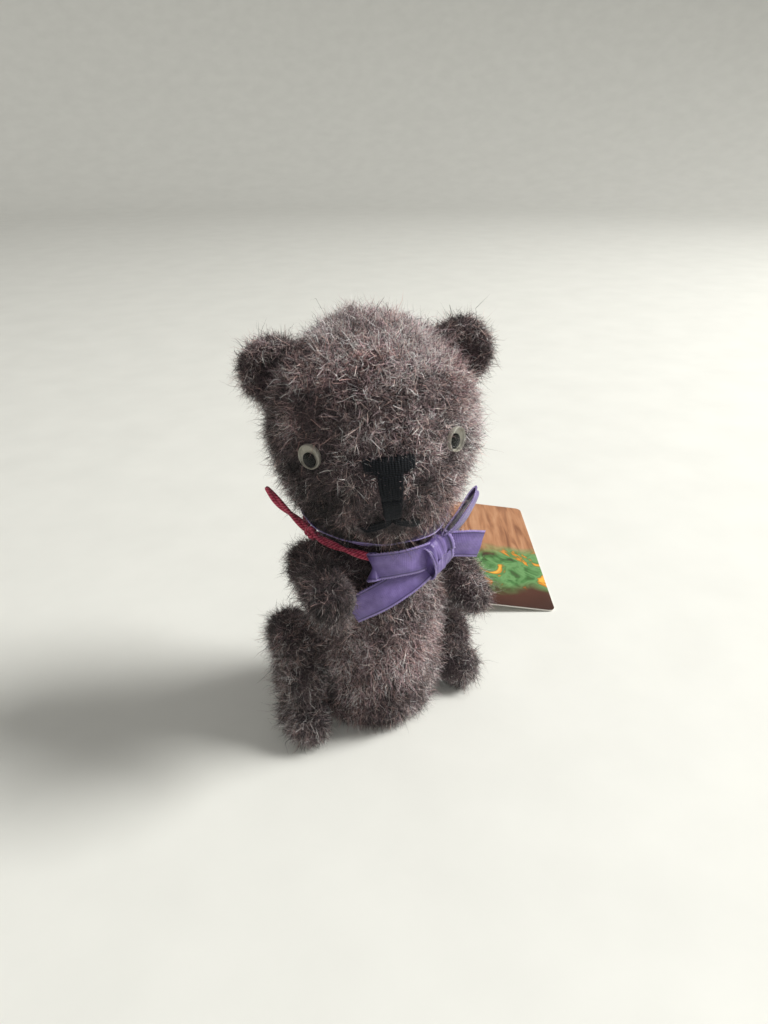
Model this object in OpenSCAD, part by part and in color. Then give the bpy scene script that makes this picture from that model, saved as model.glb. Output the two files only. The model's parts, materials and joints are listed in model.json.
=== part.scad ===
// A miniature jointed plush bear: sewn skins over stuffing, disc joints held by
// split pins at the neck, shoulders and hips, loose-pupil eyes, a ribbon bow and
// a paper tag on a doubled yarn. It sits on its flat seat, facing -Y, in millimetres.

/* [Torso] */
// Height from the seat to the flat where the head turns
torso_h = 53; // [48:1:60]
// Largest radius of the belly
belly_r = 15; // [14:0.5:17]
// Height of the widest part of the belly
belly_z = 21; // [17:1:26]
// Radius of the flat seat
seat_r = 11; // [9:0.5:12]
// Radius of the flat under the head
neck_r = 8; // [7:0.5:9]
// Thickness of the backing cloth of every skin
skin_t = 0.8; // [0.5:0.1:1.2]

/* [Head] */
// Radius of the head
head_r = 21.3; // [19:0.1:24]
// Radius of the flat under the head
head_flat_r = 6; // [5:0.5:7]
// Turn of the head from straight ahead, in degrees
head_turn = -22; // [-30:1:30]
// Sideways tilt of the face, in degrees
head_tilt = 4; // [-6:1:6]
// Radius of the muzzle
muzzle_r = 15.2; // [12:0.1:15.4]
// How far the muzzle stands out in front of the head
muzzle_out = 2.7; // [1:0.1:5]
// How far the muzzle's underside stays above the flat under the head
muzzle_lift = 0.2; // [0.1:0.1:2]
// Rounding of the cheeks, all round the lower half of the head
cheek_r = 12; // [9:0.1:12.5]
// How far the cheeks stay inside the head's widest radius
cheek_in = 2; // [1.5:0.1:5]
// How far the cheeks' underside stays above the flat under the head
cheek_lift = 0.4; // [0.1:0.1:2]
// Height of the raised nose and mouth stitches
stitch_h = 0.5; // [0.3:0.1:0.8]

/* [Ears] */
// Radius of an ear
ear_r = 6.6; // [5:0.1:8]
// Thickness of an ear
ear_t = 4.4; // [3:0.2:6]
// Angle of the ears above the head's centre
ear_angle = 33.5; // [25:0.5:50]
// How far an ear's centre stands out past the head
ear_out = 1.4; // [0.5:0.1:3]
// Depth of the hollow in front of an ear
ear_hollow = 1.5; // [0.5:0.1:2]

/* [Eyes] */
// Radius of an eye
eye_r = 2.5; // [2:0.1:3]
// Radius of the loose pupil
pupil_r = 1.5; // [1:0.1:1.6]
// Angle of each eye from the middle of the face
eye_lon = 41; // [35:1:50]
// Angle of the eyes above the head's centre
eye_lat = 1; // [0:1:10]
// How far the left pupil has rolled from the bottom of its eye, in degrees
left_roll = -75; // [-180:5:180]
// How far the right pupil has rolled from the bottom of its eye, in degrees
right_roll = 0; // [-180:5:180]

/* [Arms] */
// Radius of an arm
arm_r = 4.4; // [3.8:0.1:4.6]
// Distance from the shoulder joint to the middle of the paw
arm_len = 18.5; // [14:0.5:19]
// Height of the shoulder joints
shoulder_z = 44; // [43:0.5:46]
// Where the torso's shoulder flats lie, from the middle plane
shoulder_x = 11.2; // [10:0.1:12]
// How far the right arm is raised from straight down, in degrees
right_raise = 95; // [10:5:100]
// How far the left arm is raised from straight down, in degrees
left_raise = 30; // [10:5:60]
// How far the right paw stands out past its shoulder
right_spread = 3.5; // [3:0.1:6]
// How far the left paw stands out past its shoulder
left_spread = 5.5; // [3:0.1:8]

/* [Legs] */
// Radius of a thigh
thigh_r = 7; // [6.5:0.1:7.5]
// Thickness of a thigh
thigh_t = 8.7; // [7:0.1:10]
// Height of the hip joints
hip_z = 14; // [13.5:0.5:15]
// Where the torso's hip flats lie, from the middle plane
hip_x = 14; // [12.5:0.1:14.2]
// Radius of a foot
foot_r = 5.1; // [4:0.1:5.5]
// How far the right thigh reaches up past its hip's disc
thigh_rise = 9; // [6:0.5:10]
// How far the middle of a foot lies in front of the hips
foot_out = 5.5; // [3:0.5:8]

/* [Disc joints] */
// Radius of the hardboard joint discs
disc_r = 3.4; // [2.5:0.1:3.6]
// Thickness of the joint discs
disc_t = 0.8; // [0.5:0.1:1]
// Radius of the washers
washer_r = 1.5; // [1.2:0.1:2]
// Thickness of the washers
washer_t = 0.3; // [0.2:0.05:0.4]
// Radius of the split pins
pin_r = 0.45; // [0.3:0.05:0.5]
// Radius of a pin's head
pin_head_r = 1; // [0.8:0.1:1.2]
// Clearance round a turning pin
run_gap = 0.05; // [0.02:0.01:0.08]
// Clearance between the faces of a joint
face_gap = 0.25; // [0.15:0.05:0.4]

/* [Ribbon, yarn and tag] */
// Width of the satin ribbon
ribbon_w = 6; // [4:0.5:7]
// Thickness of the ribbon
ribbon_t = 0.4; // [0.3:0.1:0.5]
// Diameter of the doubled yarn
yarn_d = 1.7; // [1.4:0.1:1.8]
// Radius of the bow from the middle of the neck
bow_r = 16.5; // [15:0.5:18]
// Width of the paper tag
tag_w = 45; // [40:0.5:46]
// Length of the paper tag
tag_l = 67; // [50:0.5:80]
// Thickness of the paper tag
tag_t = 0.4; // [0.3:0.1:0.6]

/* [Hidden] */

$fn = 48;
far = 60;                                    // longer than any cut needs
profile_steps = 9;                           // points along each half of the torso's outline
upper_fullness = 0.6;                        // how square the torso's upper outline is
joint_face_r = disc_r + skin_t + 0.15;       // the flat that a joint's discs press on
stack_t = disc_t + washer_t;                 // a disc and its washer
head_flat_z = sqrt(pow(head_r, 2) - pow(head_flat_r, 2));
head_z = torso_h + face_gap + head_flat_z;   // the head's centre
muzzle_ahead = head_r + muzzle_out - muzzle_r;          // the muzzle's centre, from the head's
muzzle_drop = head_flat_z - muzzle_r - muzzle_lift;
cheek_out = head_r - cheek_in - cheek_r;                // middle of the cheeks' rounding
cheek_drop = head_flat_z - cheek_r - cheek_lift;
leg_x = belly_r + face_gap + 0.1;            // inner face of a leg
cup_t = 0.4;                                 // back plate of an eye
cup_wall = 0.25;                             // rim of an eye, and its clear dome
cup_h = 1;                                   // back plate and rim together
dome_h = 1;                                  // how far the dome stands over the rim
pupil_t = 0.35;
pupil_gap = 0.1;                             // play of the pupil in its eye
foot_clear = 0.3;                            // how far the feet stay off the floor
curl_r = 0.8;                                // bend of a pin's two split ends
thigh_edge = 3.4;                            // rounding of a thigh's rim

// Nose and mouth, measured from the head's centre
nose_top = 0.9;                              // upper edge of the nose
nose_bar = 3;                                // height of its wide upper part
nose_half = 5;                               // half the width of that part
stem_half = 2;                               // half the width of the stem under it
stem_end = -12;                              // lower end of the stem
mouth_half = 6.8;                            // half the width of the mouth
mouth_end = -14.6;                           // outer ends of the mouth
mouth_line = 1.3;                            // width of the mouth's line

// Ribbon, by the angle round the neck from straight ahead, towards the bear's left
bow_angle = 24;                              // where the bow is tied
bow_z = torso_h - 6.2;                       // height of its knot
bow_knot_size = [6.6, 3.6, 8.5];
bow_layer = 0.9;                             // half the gap between a loop's two layers
collar_z = torso_h - 0.6;                    // height of the middle of the ribbon round the neck
collar_rise = 1.4;                           // how much higher it is at the back
collar_lean = 60;                            // how far the ribbon leans outwards, in degrees
collar_gap = 0.2;                            // between its lower edge and the torso
collar_low = collar_z - collar_rise - ribbon_w / 2 * cos(collar_lean);
collar_r = torso_r(collar_low) + ribbon_w / 2 * sin(collar_lean) + collar_gap;

// Yarn: a doubled strand goes round the front of the neck to the knot and ends in a cut
// tail, and a second one goes from the knot round the back and down to the tag.
neck_yarn_route = [
    [7.4, 11.4, 50.2], [11, 8.2, 50.2], [13.4, 4, 50.4], [14.2, -0.8, 50.4], [13, -5.4, 49],
    [10.4, -9.2, 47.2], [6.8, -11.8, 46.2], [2.4, -13.2, 46.2], [-2, -13.8, 47],
    [-6.2, -13.2, 48.4], [-9.8, -11, 49.6], [-12.8, -7.6, 50.4], [-14.8, -3.8, 51],
    [-16, 0, 51.8], [-17.6, 3, 53.8], [-19.9, 5.8, 56.6], [-21.8, 8.2, 60]];
tag_yarn_route = [
    [-15.4, 1.4, 51.6], [-13.8, 5.6, 51.8], [-10.8, 9.2, 52], [-7, 12.3, 52], [-2.4, 13.8, 51.2],
    [1.6, 14.8, 49.2], [4.4, 15.8, 45.8], [6, 16.4, 41.6], [7.2, 16.8, 37.2], [8.2, 17, 32.8],
    [9.2, 17.2, 28.4], [10.2, 17.6, 24], [11.4, 18.2, 19.6], [12.8, 19.2, 15.2],
    [14.8, 20.6, 11], [17.6, 22.2, 7.2], [21, 24, 4.4], [25, 26, 2.8],
    [29, 27.8, 2.6], [31.8, 29.2, 4], [32.6, 29.6, 6.4]];
yarn_knot_at = [-15.6, -1, 51.3];
yarn_knot_r = 1.7;
yarn_sides = 8;

tag_at = [64.4, 5.4, 0];                     // the tag's near corner, which rests on the floor
tag_turn = 60;                               // direction of its long edge
tag_tilt = 7.5;                              // the yarn holds its other long edge up
tag_corner = 2;                              // rounding of its corners
tag_hole_r = 1.5;
tag_hole_inset = 5;                          // from the hole to both nearest edges

// Radius of the torso's outline at a height, from the seat through the belly to the neck.
function torso_r(z) = z < belly_z
    ? seat_r + (belly_r - seat_r) * sqrt(max(0, 1 - pow((belly_z - z) / belly_z, 2)))
    : neck_r + (belly_r - neck_r)
        * pow(max(0, 1 - pow((z - belly_z) / (torso_h - belly_z), 2)), upper_fullness);
// Heights that crowd towards both ends of the outline, where it bends most.
lower_heights = [for (i = [0:profile_steps]) belly_z * (1 - cos(90 * i / profile_steps))];
upper_heights = [for (i = [1:profile_steps])
    belly_z + (torso_h - belly_z) * sin(90 * i / profile_steps)];
torso_heights = concat(lower_heights, upper_heights);

// Torso

module torso_outline(inset) {
    top = torso_h - inset;
    polygon(concat(
        [[0, inset]],
        [for (z = torso_heights) [torso_r(z) - inset, max(inset, min(top, z))]],
        [[0, top]]));
}

// Places its children at a limb joint, with +Z pointing out of the torso along the pin.
module at_shoulder(side, out = 0) {
    translate([side * (shoulder_x + out), 0, shoulder_z]) rotate([0, side * 90, 0]) children();
}
module at_hip(side, out = 0) {
    translate([side * (hip_x + out), 0, hip_z]) rotate([0, side * 90, 0]) children();
}
module at_neck(out = 0) {
    translate([0, 0, torso_h + out]) children();
}
module at_torso_joints() {
    for (side = [-1, 1]) {
        at_shoulder(side) children();
        at_hip(side) children();
    }
    at_neck() children();
}
module at_limb_joints() {
    for (side = [-1, 1]) {
        at_shoulder(side) children();
        at_hip(side) children();
    }
}

module torso_form(inset) {
    difference() {
        union() {
            rotate_extrude() torso_outline(inset);
            at_limb_joints() mirror([0, 0, 1]) translate([0, 0, inset])
                cylinder(r = joint_face_r - inset / 2, h = seat_r - 2);
        }
        at_limb_joints() translate([0, 0, -inset])
            cylinder(r = joint_face_r + face_gap + inset, h = far);
    }
}
module pin_bore(from, to) {
    translate([0, 0, from]) cylinder(r = pin_r + run_gap, h = to - from);
}
module torso_skin() {
    color("dimgray") difference() {
        torso_form(0);
        torso_form(skin_t);
        at_torso_joints() pin_bore(-2 * skin_t, skin_t);
    }
}
// Room for the discs, the washer and the turning pin ends inside the torso.
module torso_pocket() {
    mirror([0, 0, 1]) cylinder(r = disc_r + face_gap, h = skin_t + disc_t + face_gap);
    mirror([0, 0, 1]) cylinder(r = washer_r + 2 * curl_r, h = skin_t + stack_t + 3 * curl_r);
}
module torso_filling() {
    color("ivory") difference() {
        torso_form(skin_t);
        at_torso_joints() torso_pocket();
    }
}

// Disc joints: the torso's disc and washer lie behind its skin, the limb's behind its own.

module joint_disc() {
    color("peru") difference() {
        cylinder(r = disc_r, h = disc_t);
        pin_bore(-disc_t, 2 * disc_t);
    }
}
module joint_washer() {
    color("silver") difference() {
        cylinder(r = washer_r, h = washer_t);
        pin_bore(-washer_t, 2 * washer_t);
    }
}
module inner_disc() mirror([0, 0, 1]) translate([0, 0, skin_t]) joint_disc();
module inner_washer() mirror([0, 0, 1]) translate([0, 0, skin_t + disc_t]) joint_washer();
module outer_disc() translate([0, 0, face_gap + skin_t]) joint_disc();
module outer_washer() translate([0, 0, face_gap + skin_t + disc_t]) joint_washer();

// A split pin: its head is in the limb, and its two ends curl over the torso's washer.
module split_pin() {
    head_from = face_gap + skin_t + stack_t;
    tail_to = skin_t + stack_t + curl_r + pin_r;
    overlap = pin_r / 3;
    color("gainsboro") {
        translate([0, 0, head_from]) cylinder(r = pin_head_r, h = washer_t);
        translate([0, 0, -tail_to - overlap])
            cylinder(r = pin_r, h = tail_to + overlap + head_from);
        for (turn = [0, 180]) rotate([0, 0, turn])
            translate([curl_r, pin_r / 2, -tail_to]) rotate([90, 0, 0])
                rotate_extrude(angle = -180) translate([curl_r, 0]) square([pin_r, pin_r], center = true);
    }
}

module neck_torso_disc() at_neck() inner_disc();
module neck_torso_washer() at_neck() inner_washer();
module neck_head_disc() at_neck() outer_disc();
module neck_head_washer() at_neck() outer_washer();
module neck_pin() at_neck() split_pin();

// Head

module at_head() {
    translate([0, 0, head_z]) rotate([0, 0, head_turn]) children();
}
module at_face() {
    at_head() rotate([0, -head_tilt, 0]) children();
}
module head_form(inset) {
    intersection() {
        union() {
            at_head() sphere(r = head_r - inset, $fn = 96);
            at_head() rotate_extrude($fn = 96) intersection() {
                translate([cheek_out, -cheek_drop]) circle(r = cheek_r - inset);
                translate([0, -far]) square([far, far]);
            }
            at_face() translate([0, -muzzle_ahead, -muzzle_drop])
                sphere(r = muzzle_r - inset, $fn = 96);
        }
        translate([-far, -far, head_z - head_flat_z + inset]) cube([2 * far, 2 * far, far]);
    }
}
module head_skin() {
    color("dimgray") difference() {
        head_form(0);
        head_form(skin_t);
        at_neck() pin_bore(0, 3 * skin_t);
        for (side = [-1, 1]) at_eye(side) cylinder(r = eye_r + pupil_gap, h = far / 10);
    }
}
// Room behind a limb's skin for its disc, its washer and the head of its pin.
module limb_pocket() {
    cylinder(r = joint_face_r, h = face_gap + skin_t + disc_t + run_gap);
    cylinder(r = washer_r + run_gap, h = face_gap + skin_t + stack_t + washer_t + run_gap);
}
module head_filling() {
    color("ivory") difference() {
        head_form(skin_t);
        at_neck() limb_pocket();
        for (side = [-1, 1]) at_eye(side) cylinder(r = eye_r + pupil_gap, h = far / 10);
    }
}

module at_ear(side) {
    reach = head_r + ear_out;
    at_face() translate([side * reach * cos(ear_angle), 1, reach * sin(ear_angle)])
        rotate([0, 0, side * 10]) children();
}
module ear(side) {
    front_r = ear_r + ear_hollow;
    color("gray") difference() {
        at_ear(side) intersection() {
            rotate([90, 0, 0]) sphere(r = ear_r);
            translate([0, ear_t / 2, 0]) rotate([90, 0, 0]) cylinder(r = 2 * ear_r, h = ear_t);
        }
        at_ear(side) translate([0, -ear_t / 2 - ear_r, 0]) rotate([90, 0, 0]) sphere(r = front_r);
        head_form(0);
    }
}
module left_ear() ear(1);
module right_ear() ear(-1);

// A thin layer over the front of the head, in which the nose and mouth are stitched.
module stitched() {
    color("black") intersection() {
        difference() {
            head_form(-stitch_h);
            head_form(0);
        }
        at_face() rotate([90, 0, 0]) linear_extrude(height = far) children();
    }
}
module nose_stitching() stitched() {
    polygon([
        [-nose_half, nose_top], [nose_half, nose_top],
        [nose_half - 1, nose_top - nose_bar], [stem_half, nose_top - nose_bar - 1],
        [stem_half, stem_end], [-stem_half, stem_end],
        [-stem_half, nose_top - nose_bar - 1], [1 - nose_half, nose_top - nose_bar]]);
}
module mouth_stitching() stitched() {
    polygon([
        [-mouth_half, mouth_end], [-stem_half, stem_end], [stem_half, stem_end],
        [mouth_half, mouth_end], [mouth_half - 1, mouth_end - mouth_line],
        [0, stem_end - mouth_line - 1], [1 - mouth_half, mouth_end - mouth_line]]);
}

// An eye's place: +Z points out of the head, and +X down the face.
module at_eye(side) {
    lat = eye_lat + side * head_tilt * sin(eye_lon);
    at_head() rotate([0, 90 - lat, side * eye_lon - 90])
        translate([0, 0, sqrt(pow(head_r, 2) - pow(eye_r, 2))]) children();
}
module eye_cup(side) {
    color("gainsboro") at_eye(side) difference() {
        cylinder(r = eye_r, h = cup_h);
        translate([0, 0, cup_t]) cylinder(r = eye_r - cup_wall, h = cup_h);
    }
}
module eye_dome(side) {
    base_r = eye_r - pupil_gap / 2;
    dome_r = (pow(base_r, 2) + pow(dome_h, 2)) / (2 * dome_h);
    color("white", 0.4) at_eye(side) translate([0, 0, cup_h]) intersection() {
        translate([0, 0, dome_h - dome_r]) difference() {
            sphere(r = dome_r);
            sphere(r = dome_r - cup_wall);
        }
        cylinder(r = eye_r, h = 2 * dome_h);
    }
}
module pupil(side) {
    color("black") at_eye(side) rotate([0, 0, side > 0 ? left_roll : right_roll])
        translate([eye_r - cup_wall - pupil_gap - pupil_r, 0, cup_t + pupil_gap])
            cylinder(r = pupil_r, h = pupil_t);
}
module left_eye_cup() eye_cup(1);
module right_eye_cup() eye_cup(-1);
module left_eye_dome() eye_dome(1);
module right_eye_dome() eye_dome(-1);
module left_pupil() pupil(1);
module right_pupil() pupil(-1);

// Arms: the inner side of an arm clears the torso at every angle, because what is cut
// away is the torso's outline turned about the shoulder's own axis.

function torso_beside(reach) = max(torso_r(max(0, shoulder_z - reach)),
    torso_r(min(torso_h, shoulder_z + reach))) + face_gap - shoulder_x;
module shoulder_sweep(inset) {
    reaches = [0:2:24];
    rotate_extrude() polygon(concat(
        [[0, -far]],
        [for (reach = reaches) [reach, torso_beside(reach) + inset]],
        [[far, belly_r + face_gap - shoulder_x + inset], [far, -far]]));
}
// An arm at its own joint: +Z points out of the torso and the paw hangs along +X.
module arm_form(spread, inset) {
    lean = atan(spread / arm_len);
    difference() {
        translate([0, 0, face_gap + arm_r]) rotate([0, -lean, 0]) {
            sphere(r = arm_r - inset);
            rotate([0, 90, 0]) cylinder(r = arm_r - inset, h = arm_len);
            translate([arm_len, 0, 0]) sphere(r = arm_r - inset);
        }
        shoulder_sweep(inset);
    }
    difference() {
        cylinder(r = joint_face_r - inset, h = face_gap + arm_r);
        translate([0, 0, -far]) cylinder(r = far, h = far + face_gap + inset);
    }
}
// Turns an arm about its pin, raised forward from straight down.
function spread(side) = side > 0 ? left_spread : right_spread;
module at_arm(side) {
    raise = side > 0 ? left_raise : right_raise;
    at_shoulder(side) rotate([0, 0, side > 0 ? -raise : 180 + raise]) children();
}
module arm_skin(side) {
    color("dimgray") at_arm(side) difference() {
        arm_form(spread(side), 0);
        arm_form(spread(side), skin_t);
        pin_bore(0, 3 * skin_t);
    }
}
module arm_filling(side) {
    color("ivory") at_arm(side) difference() {
        arm_form(spread(side), skin_t);
        limb_pocket();
    }
}
module left_arm_skin() arm_skin(1);
module right_arm_skin() arm_skin(-1);
module left_arm_filling() arm_filling(1);
module right_arm_filling() arm_filling(-1);
module left_shoulder_torso_disc() at_shoulder(1) inner_disc();
module right_shoulder_torso_disc() at_shoulder(-1) inner_disc();
module left_shoulder_torso_washer() at_shoulder(1) inner_washer();
module right_shoulder_torso_washer() at_shoulder(-1) inner_washer();
module left_arm_disc() at_shoulder(1) outer_disc();
module right_arm_disc() at_shoulder(-1) outer_disc();
module left_arm_washer() at_shoulder(1) outer_washer();
module right_arm_washer() at_shoulder(-1) outer_washer();
module left_arm_pin() at_shoulder(1) split_pin();
module right_arm_pin() at_shoulder(-1) split_pin();

// Legs: a thick round thigh beside the torso, with a short foot in front of it. The
// right thigh is stuffed higher than the left.

module leg_form(side, inset) {
    inner = leg_x - hip_x + inset;
    thick = thigh_t - 2 * inset;
    foot_mid = leg_x - hip_x + foot_r;
    foot_drop = hip_z - foot_r - foot_clear;
    intersection() {
        union() {
            rotate_extrude() thigh_outline(inner, thick, thigh_r - inset);
            if (side > 0) translate([-thigh_rise, -thigh_rise / 3, 0])
                rotate_extrude() thigh_outline(inner, thick, thigh_r - inset - 0.5);
            for (out = [0.35, 1])
                translate([foot_drop, side * foot_out * out, foot_mid]) sphere(r = foot_r - inset);
            translate([foot_drop, side * foot_out * 0.35, foot_mid]) rotate([-side * 90, 0, 0])
                cylinder(r = foot_r - inset, h = foot_out * 0.65);
        }
        translate([0, 0, inner]) cylinder(r = far, h = far);
    }
    translate([0, 0, face_gap + inset]) cylinder(r = joint_face_r - inset, h = inner + skin_t);
}
module thigh_outline(from, thick, r) {
    edge = min(thigh_edge, thick / 2, r / 2);
    translate([0, from]) {
        square([r - edge, thick]);
        translate([0, edge]) square([r, thick - 2 * edge]);
        translate([r - edge, edge]) circle(r = edge);
        translate([r - edge, thick - edge]) circle(r = edge);
    }
}
// In a hip's frame +Z points out of the torso; +X is down on the left and up on the right.
module at_leg(side) {
    at_hip(side) rotate([0, 0, side > 0 ? 0 : 180]) children();
}
module leg_skin(side) {
    color("dimgray") at_leg(side) difference() {
        leg_form(-side, 0);
        leg_form(-side, skin_t);
        pin_bore(0, 3 * skin_t);
    }
}
module leg_filling(side) {
    color("ivory") at_leg(side) difference() {
        leg_form(-side, skin_t);
        limb_pocket();
    }
}
module left_leg_skin() leg_skin(1);
module right_leg_skin() leg_skin(-1);
module left_leg_filling() leg_filling(1);
module right_leg_filling() leg_filling(-1);
module left_hip_torso_disc() at_hip(1) inner_disc();
module right_hip_torso_disc() at_hip(-1) inner_disc();
module left_hip_torso_washer() at_hip(1) inner_washer();
module right_hip_torso_washer() at_hip(-1) inner_washer();
module left_leg_disc() at_hip(1) outer_disc();
module right_leg_disc() at_hip(-1) outer_disc();
module left_leg_washer() at_hip(1) outer_washer();
module right_leg_washer() at_hip(-1) outer_washer();
module left_leg_pin() at_hip(1) split_pin();
module right_leg_pin() at_hip(-1) split_pin();

// Ribbon and yarn: closed bands swept along a path, in a frame carried along it.

function unit(v) = v / norm(v);
function tangent(path, i) = unit(path[min(i + 1, len(path) - 1)] - path[max(i - 1, 0)]);
function square_to(v, axis) = unit(v - (v * axis) * axis);
// Radius, angle from straight ahead and height, as a point.
function around(r, angle, z) = [r * sin(angle), -r * cos(angle), z];

module loft(sections, closed = false) {
    n = len(sections);
    k = len(sections[0]);
    sides = [for (i = [0:(closed ? n - 1 : n - 2)], j = [0:k - 1])
        let (a = i * k, b = ((i + 1) % n) * k, next = (j + 1) % k)
        [[a + j, b + j, b + next], [a + j, b + next, a + next]]];
    caps = closed ? [] : [[for (j = [0:k - 1]) j], [for (j = [k - 1:-1:0]) (n - 1) * k + j]];
    polyhedron([for (section = sections) each section], concat([for (s = sides) each s], caps));
}
// The four corners of a ribbon's section at a point, with its width along one direction.
function ribbon_section(at, along, across) = let (wide = square_to(across, along),
    deep = cross(along, wide))
    [for (c = [[-1, -1], [1, -1], [1, 1], [-1, 1]])
        at + wide * c[0] * ribbon_w / 2 + deep * c[1] * ribbon_t / 2];
module ribbon(path, across) {
    color("mediumpurple")
        loft([for (i = [0:len(path) - 1]) ribbon_section(path[i], tangent(path, i), across)]);
}

// The ribbon round the neck rises towards the back and swells out to the bow's knot.
function collar_at(angle) = let (near_bow = max(0, cos(angle - bow_angle)))
    around(collar_r + (bow_r - collar_r - bow_knot_size[1] / 2 - ribbon_t) * pow(near_bow, 8),
        angle, collar_z - collar_rise * cos(angle));
module neck_ribbon() {
    step = 10;
    lean = [for (angle = [0:step:359]) around(sin(collar_lean), angle, cos(collar_lean))];
    ring = [for (angle = [0:step:359]) collar_at(angle)];
    n = len(ring);
    color("mediumpurple") loft([for (i = [0:n - 1])
        ribbon_section(ring[i], unit(ring[(i + 1) % n] - ring[(i + n - 1) % n]), lean[i])], true);
}
module bow_knot() {
    deep = bow_knot_size[1];
    high = bow_knot_size[2];
    edge = 1.2;
    color("mediumpurple") translate(around(bow_r, bow_angle, bow_z))
        rotate([0, 0, bow_angle]) rotate([0, -15, 0]) rotate([90, 0, 90])
            translate([0, 0, -bow_knot_size[0] / 2]) linear_extrude(height = bow_knot_size[0]) {
                square([deep - 2 * edge, high], center = true);
                square([deep, high - 2 * edge], center = true);
                for (y = [-1, 1], z = [-1, 1])
                    translate([y * (deep / 2 - edge), z * (high / 2 - edge)]) circle(r = edge);
            }
}
// A loop runs out from the knot, folds and comes back under itself.
function loop_path(out, side) = [for (t = [25:15:335]) out((1 - cos(t)) / 2, sin(t) * side)];
module right_bow_loop() {
    ribbon(loop_path(function (u, layer)
        around(bow_r + bow_layer * layer, 14 - 44 * u, bow_z + 0.8 + bow_layer * layer), 1), [0, 0, 1]);
}
module left_bow_loop() {
    ribbon(loop_path(function (u, layer)
        around(bow_r + 0.5 + 5.5 * u + bow_layer * layer, 34 + 22 * u, bow_z + 2.4 + 9 * u), 1),
        [-0.6, -0.6, 0.6]);
}
module right_bow_tail() {
    ribbon([for (u = [0:0.1:1]) around(bow_r - 0.5 + 2.2 * u, 12 - 56.5 * u,
        bow_z - 1.6 - 5 * u - 2.7 * u * u)],
        [0.43, -0.43, -0.78]);
}
module left_bow_tail() {
    ribbon([for (u = [0:0.125:1])
        around(bow_r + 0.7 + 7 * u, 33 + 18 * u, bow_z + 1.2 - 2 * u * u)], [0, 0, 1]);
}

// Carries one direction along a path without twisting it.
function carried(path, v, i = 0) = i == len(path) ? []
    : let (next = square_to(v, tangent(path, i))) concat([next], carried(path, next, i + 1));
module yarn(route) {
    wide = carried(route, [0, 0, 1]);
    color("crimson") loft([for (i = [0:len(route) - 1])
        let (deep = cross(tangent(route, i), wide[i]))
        [for (j = [0:yarn_sides - 1]) let (turn = 360 * j / yarn_sides)
            route[i] + yarn_d / 2 * (wide[i] * cos(turn) + deep * sin(turn))]]);
}
module neck_yarn() yarn(neck_yarn_route);
module tag_yarn() yarn(tag_yarn_route);
module yarn_knot() color("crimson") translate(yarn_knot_at) sphere(r = yarn_knot_r);

// Tag: a picture card that lies behind the bear, held by the yarn through its hole.

module at_tag() {
    translate(tag_at) rotate([0, 0, tag_turn]) rotate([tag_tilt, 0, 0]) children();
}
module at_tag_hole() {
    at_tag() translate([tag_hole_inset, tag_w - tag_hole_inset, 0]) children();
}
module tag_card() {
    color("tan") difference() {
        at_tag() linear_extrude(height = tag_t) {
            translate([tag_corner, 0]) square([tag_l - 2 * tag_corner, tag_w]);
            translate([0, tag_corner]) square([tag_l, tag_w - 2 * tag_corner]);
            for (x = [tag_corner, tag_l - tag_corner], y = [tag_corner, tag_w - tag_corner])
                translate([x, y]) circle(r = tag_corner);
        }
        at_tag_hole() translate([0, 0, -tag_t]) cylinder(r = tag_hole_r, h = 3 * tag_t);
    }
}
module tag_knot() {
    color("crimson") at_tag_hole() translate([0, 0, tag_t + sqrt(pow(yarn_knot_r, 2)
        - pow(tag_hole_r, 2))]) sphere(r = yarn_knot_r);
}

torso_skin();
torso_filling();
neck_torso_disc();
left_shoulder_torso_disc();
right_shoulder_torso_disc();
left_hip_torso_disc();
right_hip_torso_disc();
neck_torso_washer();
left_shoulder_torso_washer();
right_shoulder_torso_washer();
left_hip_torso_washer();
right_hip_torso_washer();
head_skin();
head_filling();
left_ear();
right_ear();
nose_stitching();
mouth_stitching();
left_eye_cup();
left_eye_dome();
left_pupil();
right_eye_cup();
right_eye_dome();
right_pupil();
neck_head_disc();
neck_head_washer();
neck_pin();
left_arm_skin();
left_arm_filling();
left_arm_disc();
left_arm_washer();
left_arm_pin();
right_arm_skin();
right_arm_filling();
right_arm_disc();
right_arm_washer();
right_arm_pin();
left_leg_skin();
left_leg_filling();
left_leg_disc();
left_leg_washer();
left_leg_pin();
right_leg_skin();
right_leg_filling();
right_leg_disc();
right_leg_washer();
right_leg_pin();
neck_ribbon();
bow_knot();
right_bow_loop();
left_bow_loop();
right_bow_tail();
left_bow_tail();
neck_yarn();
yarn_knot();
tag_yarn();
tag_knot();
tag_card();
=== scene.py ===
import json
from math import atan, atan2, cos, pi, radians, sin, sqrt

import bmesh
import bpy
import numpy as np
from mathutils import Matrix, Vector, noise
from mathutils.bvhtree import BVHTree

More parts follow.
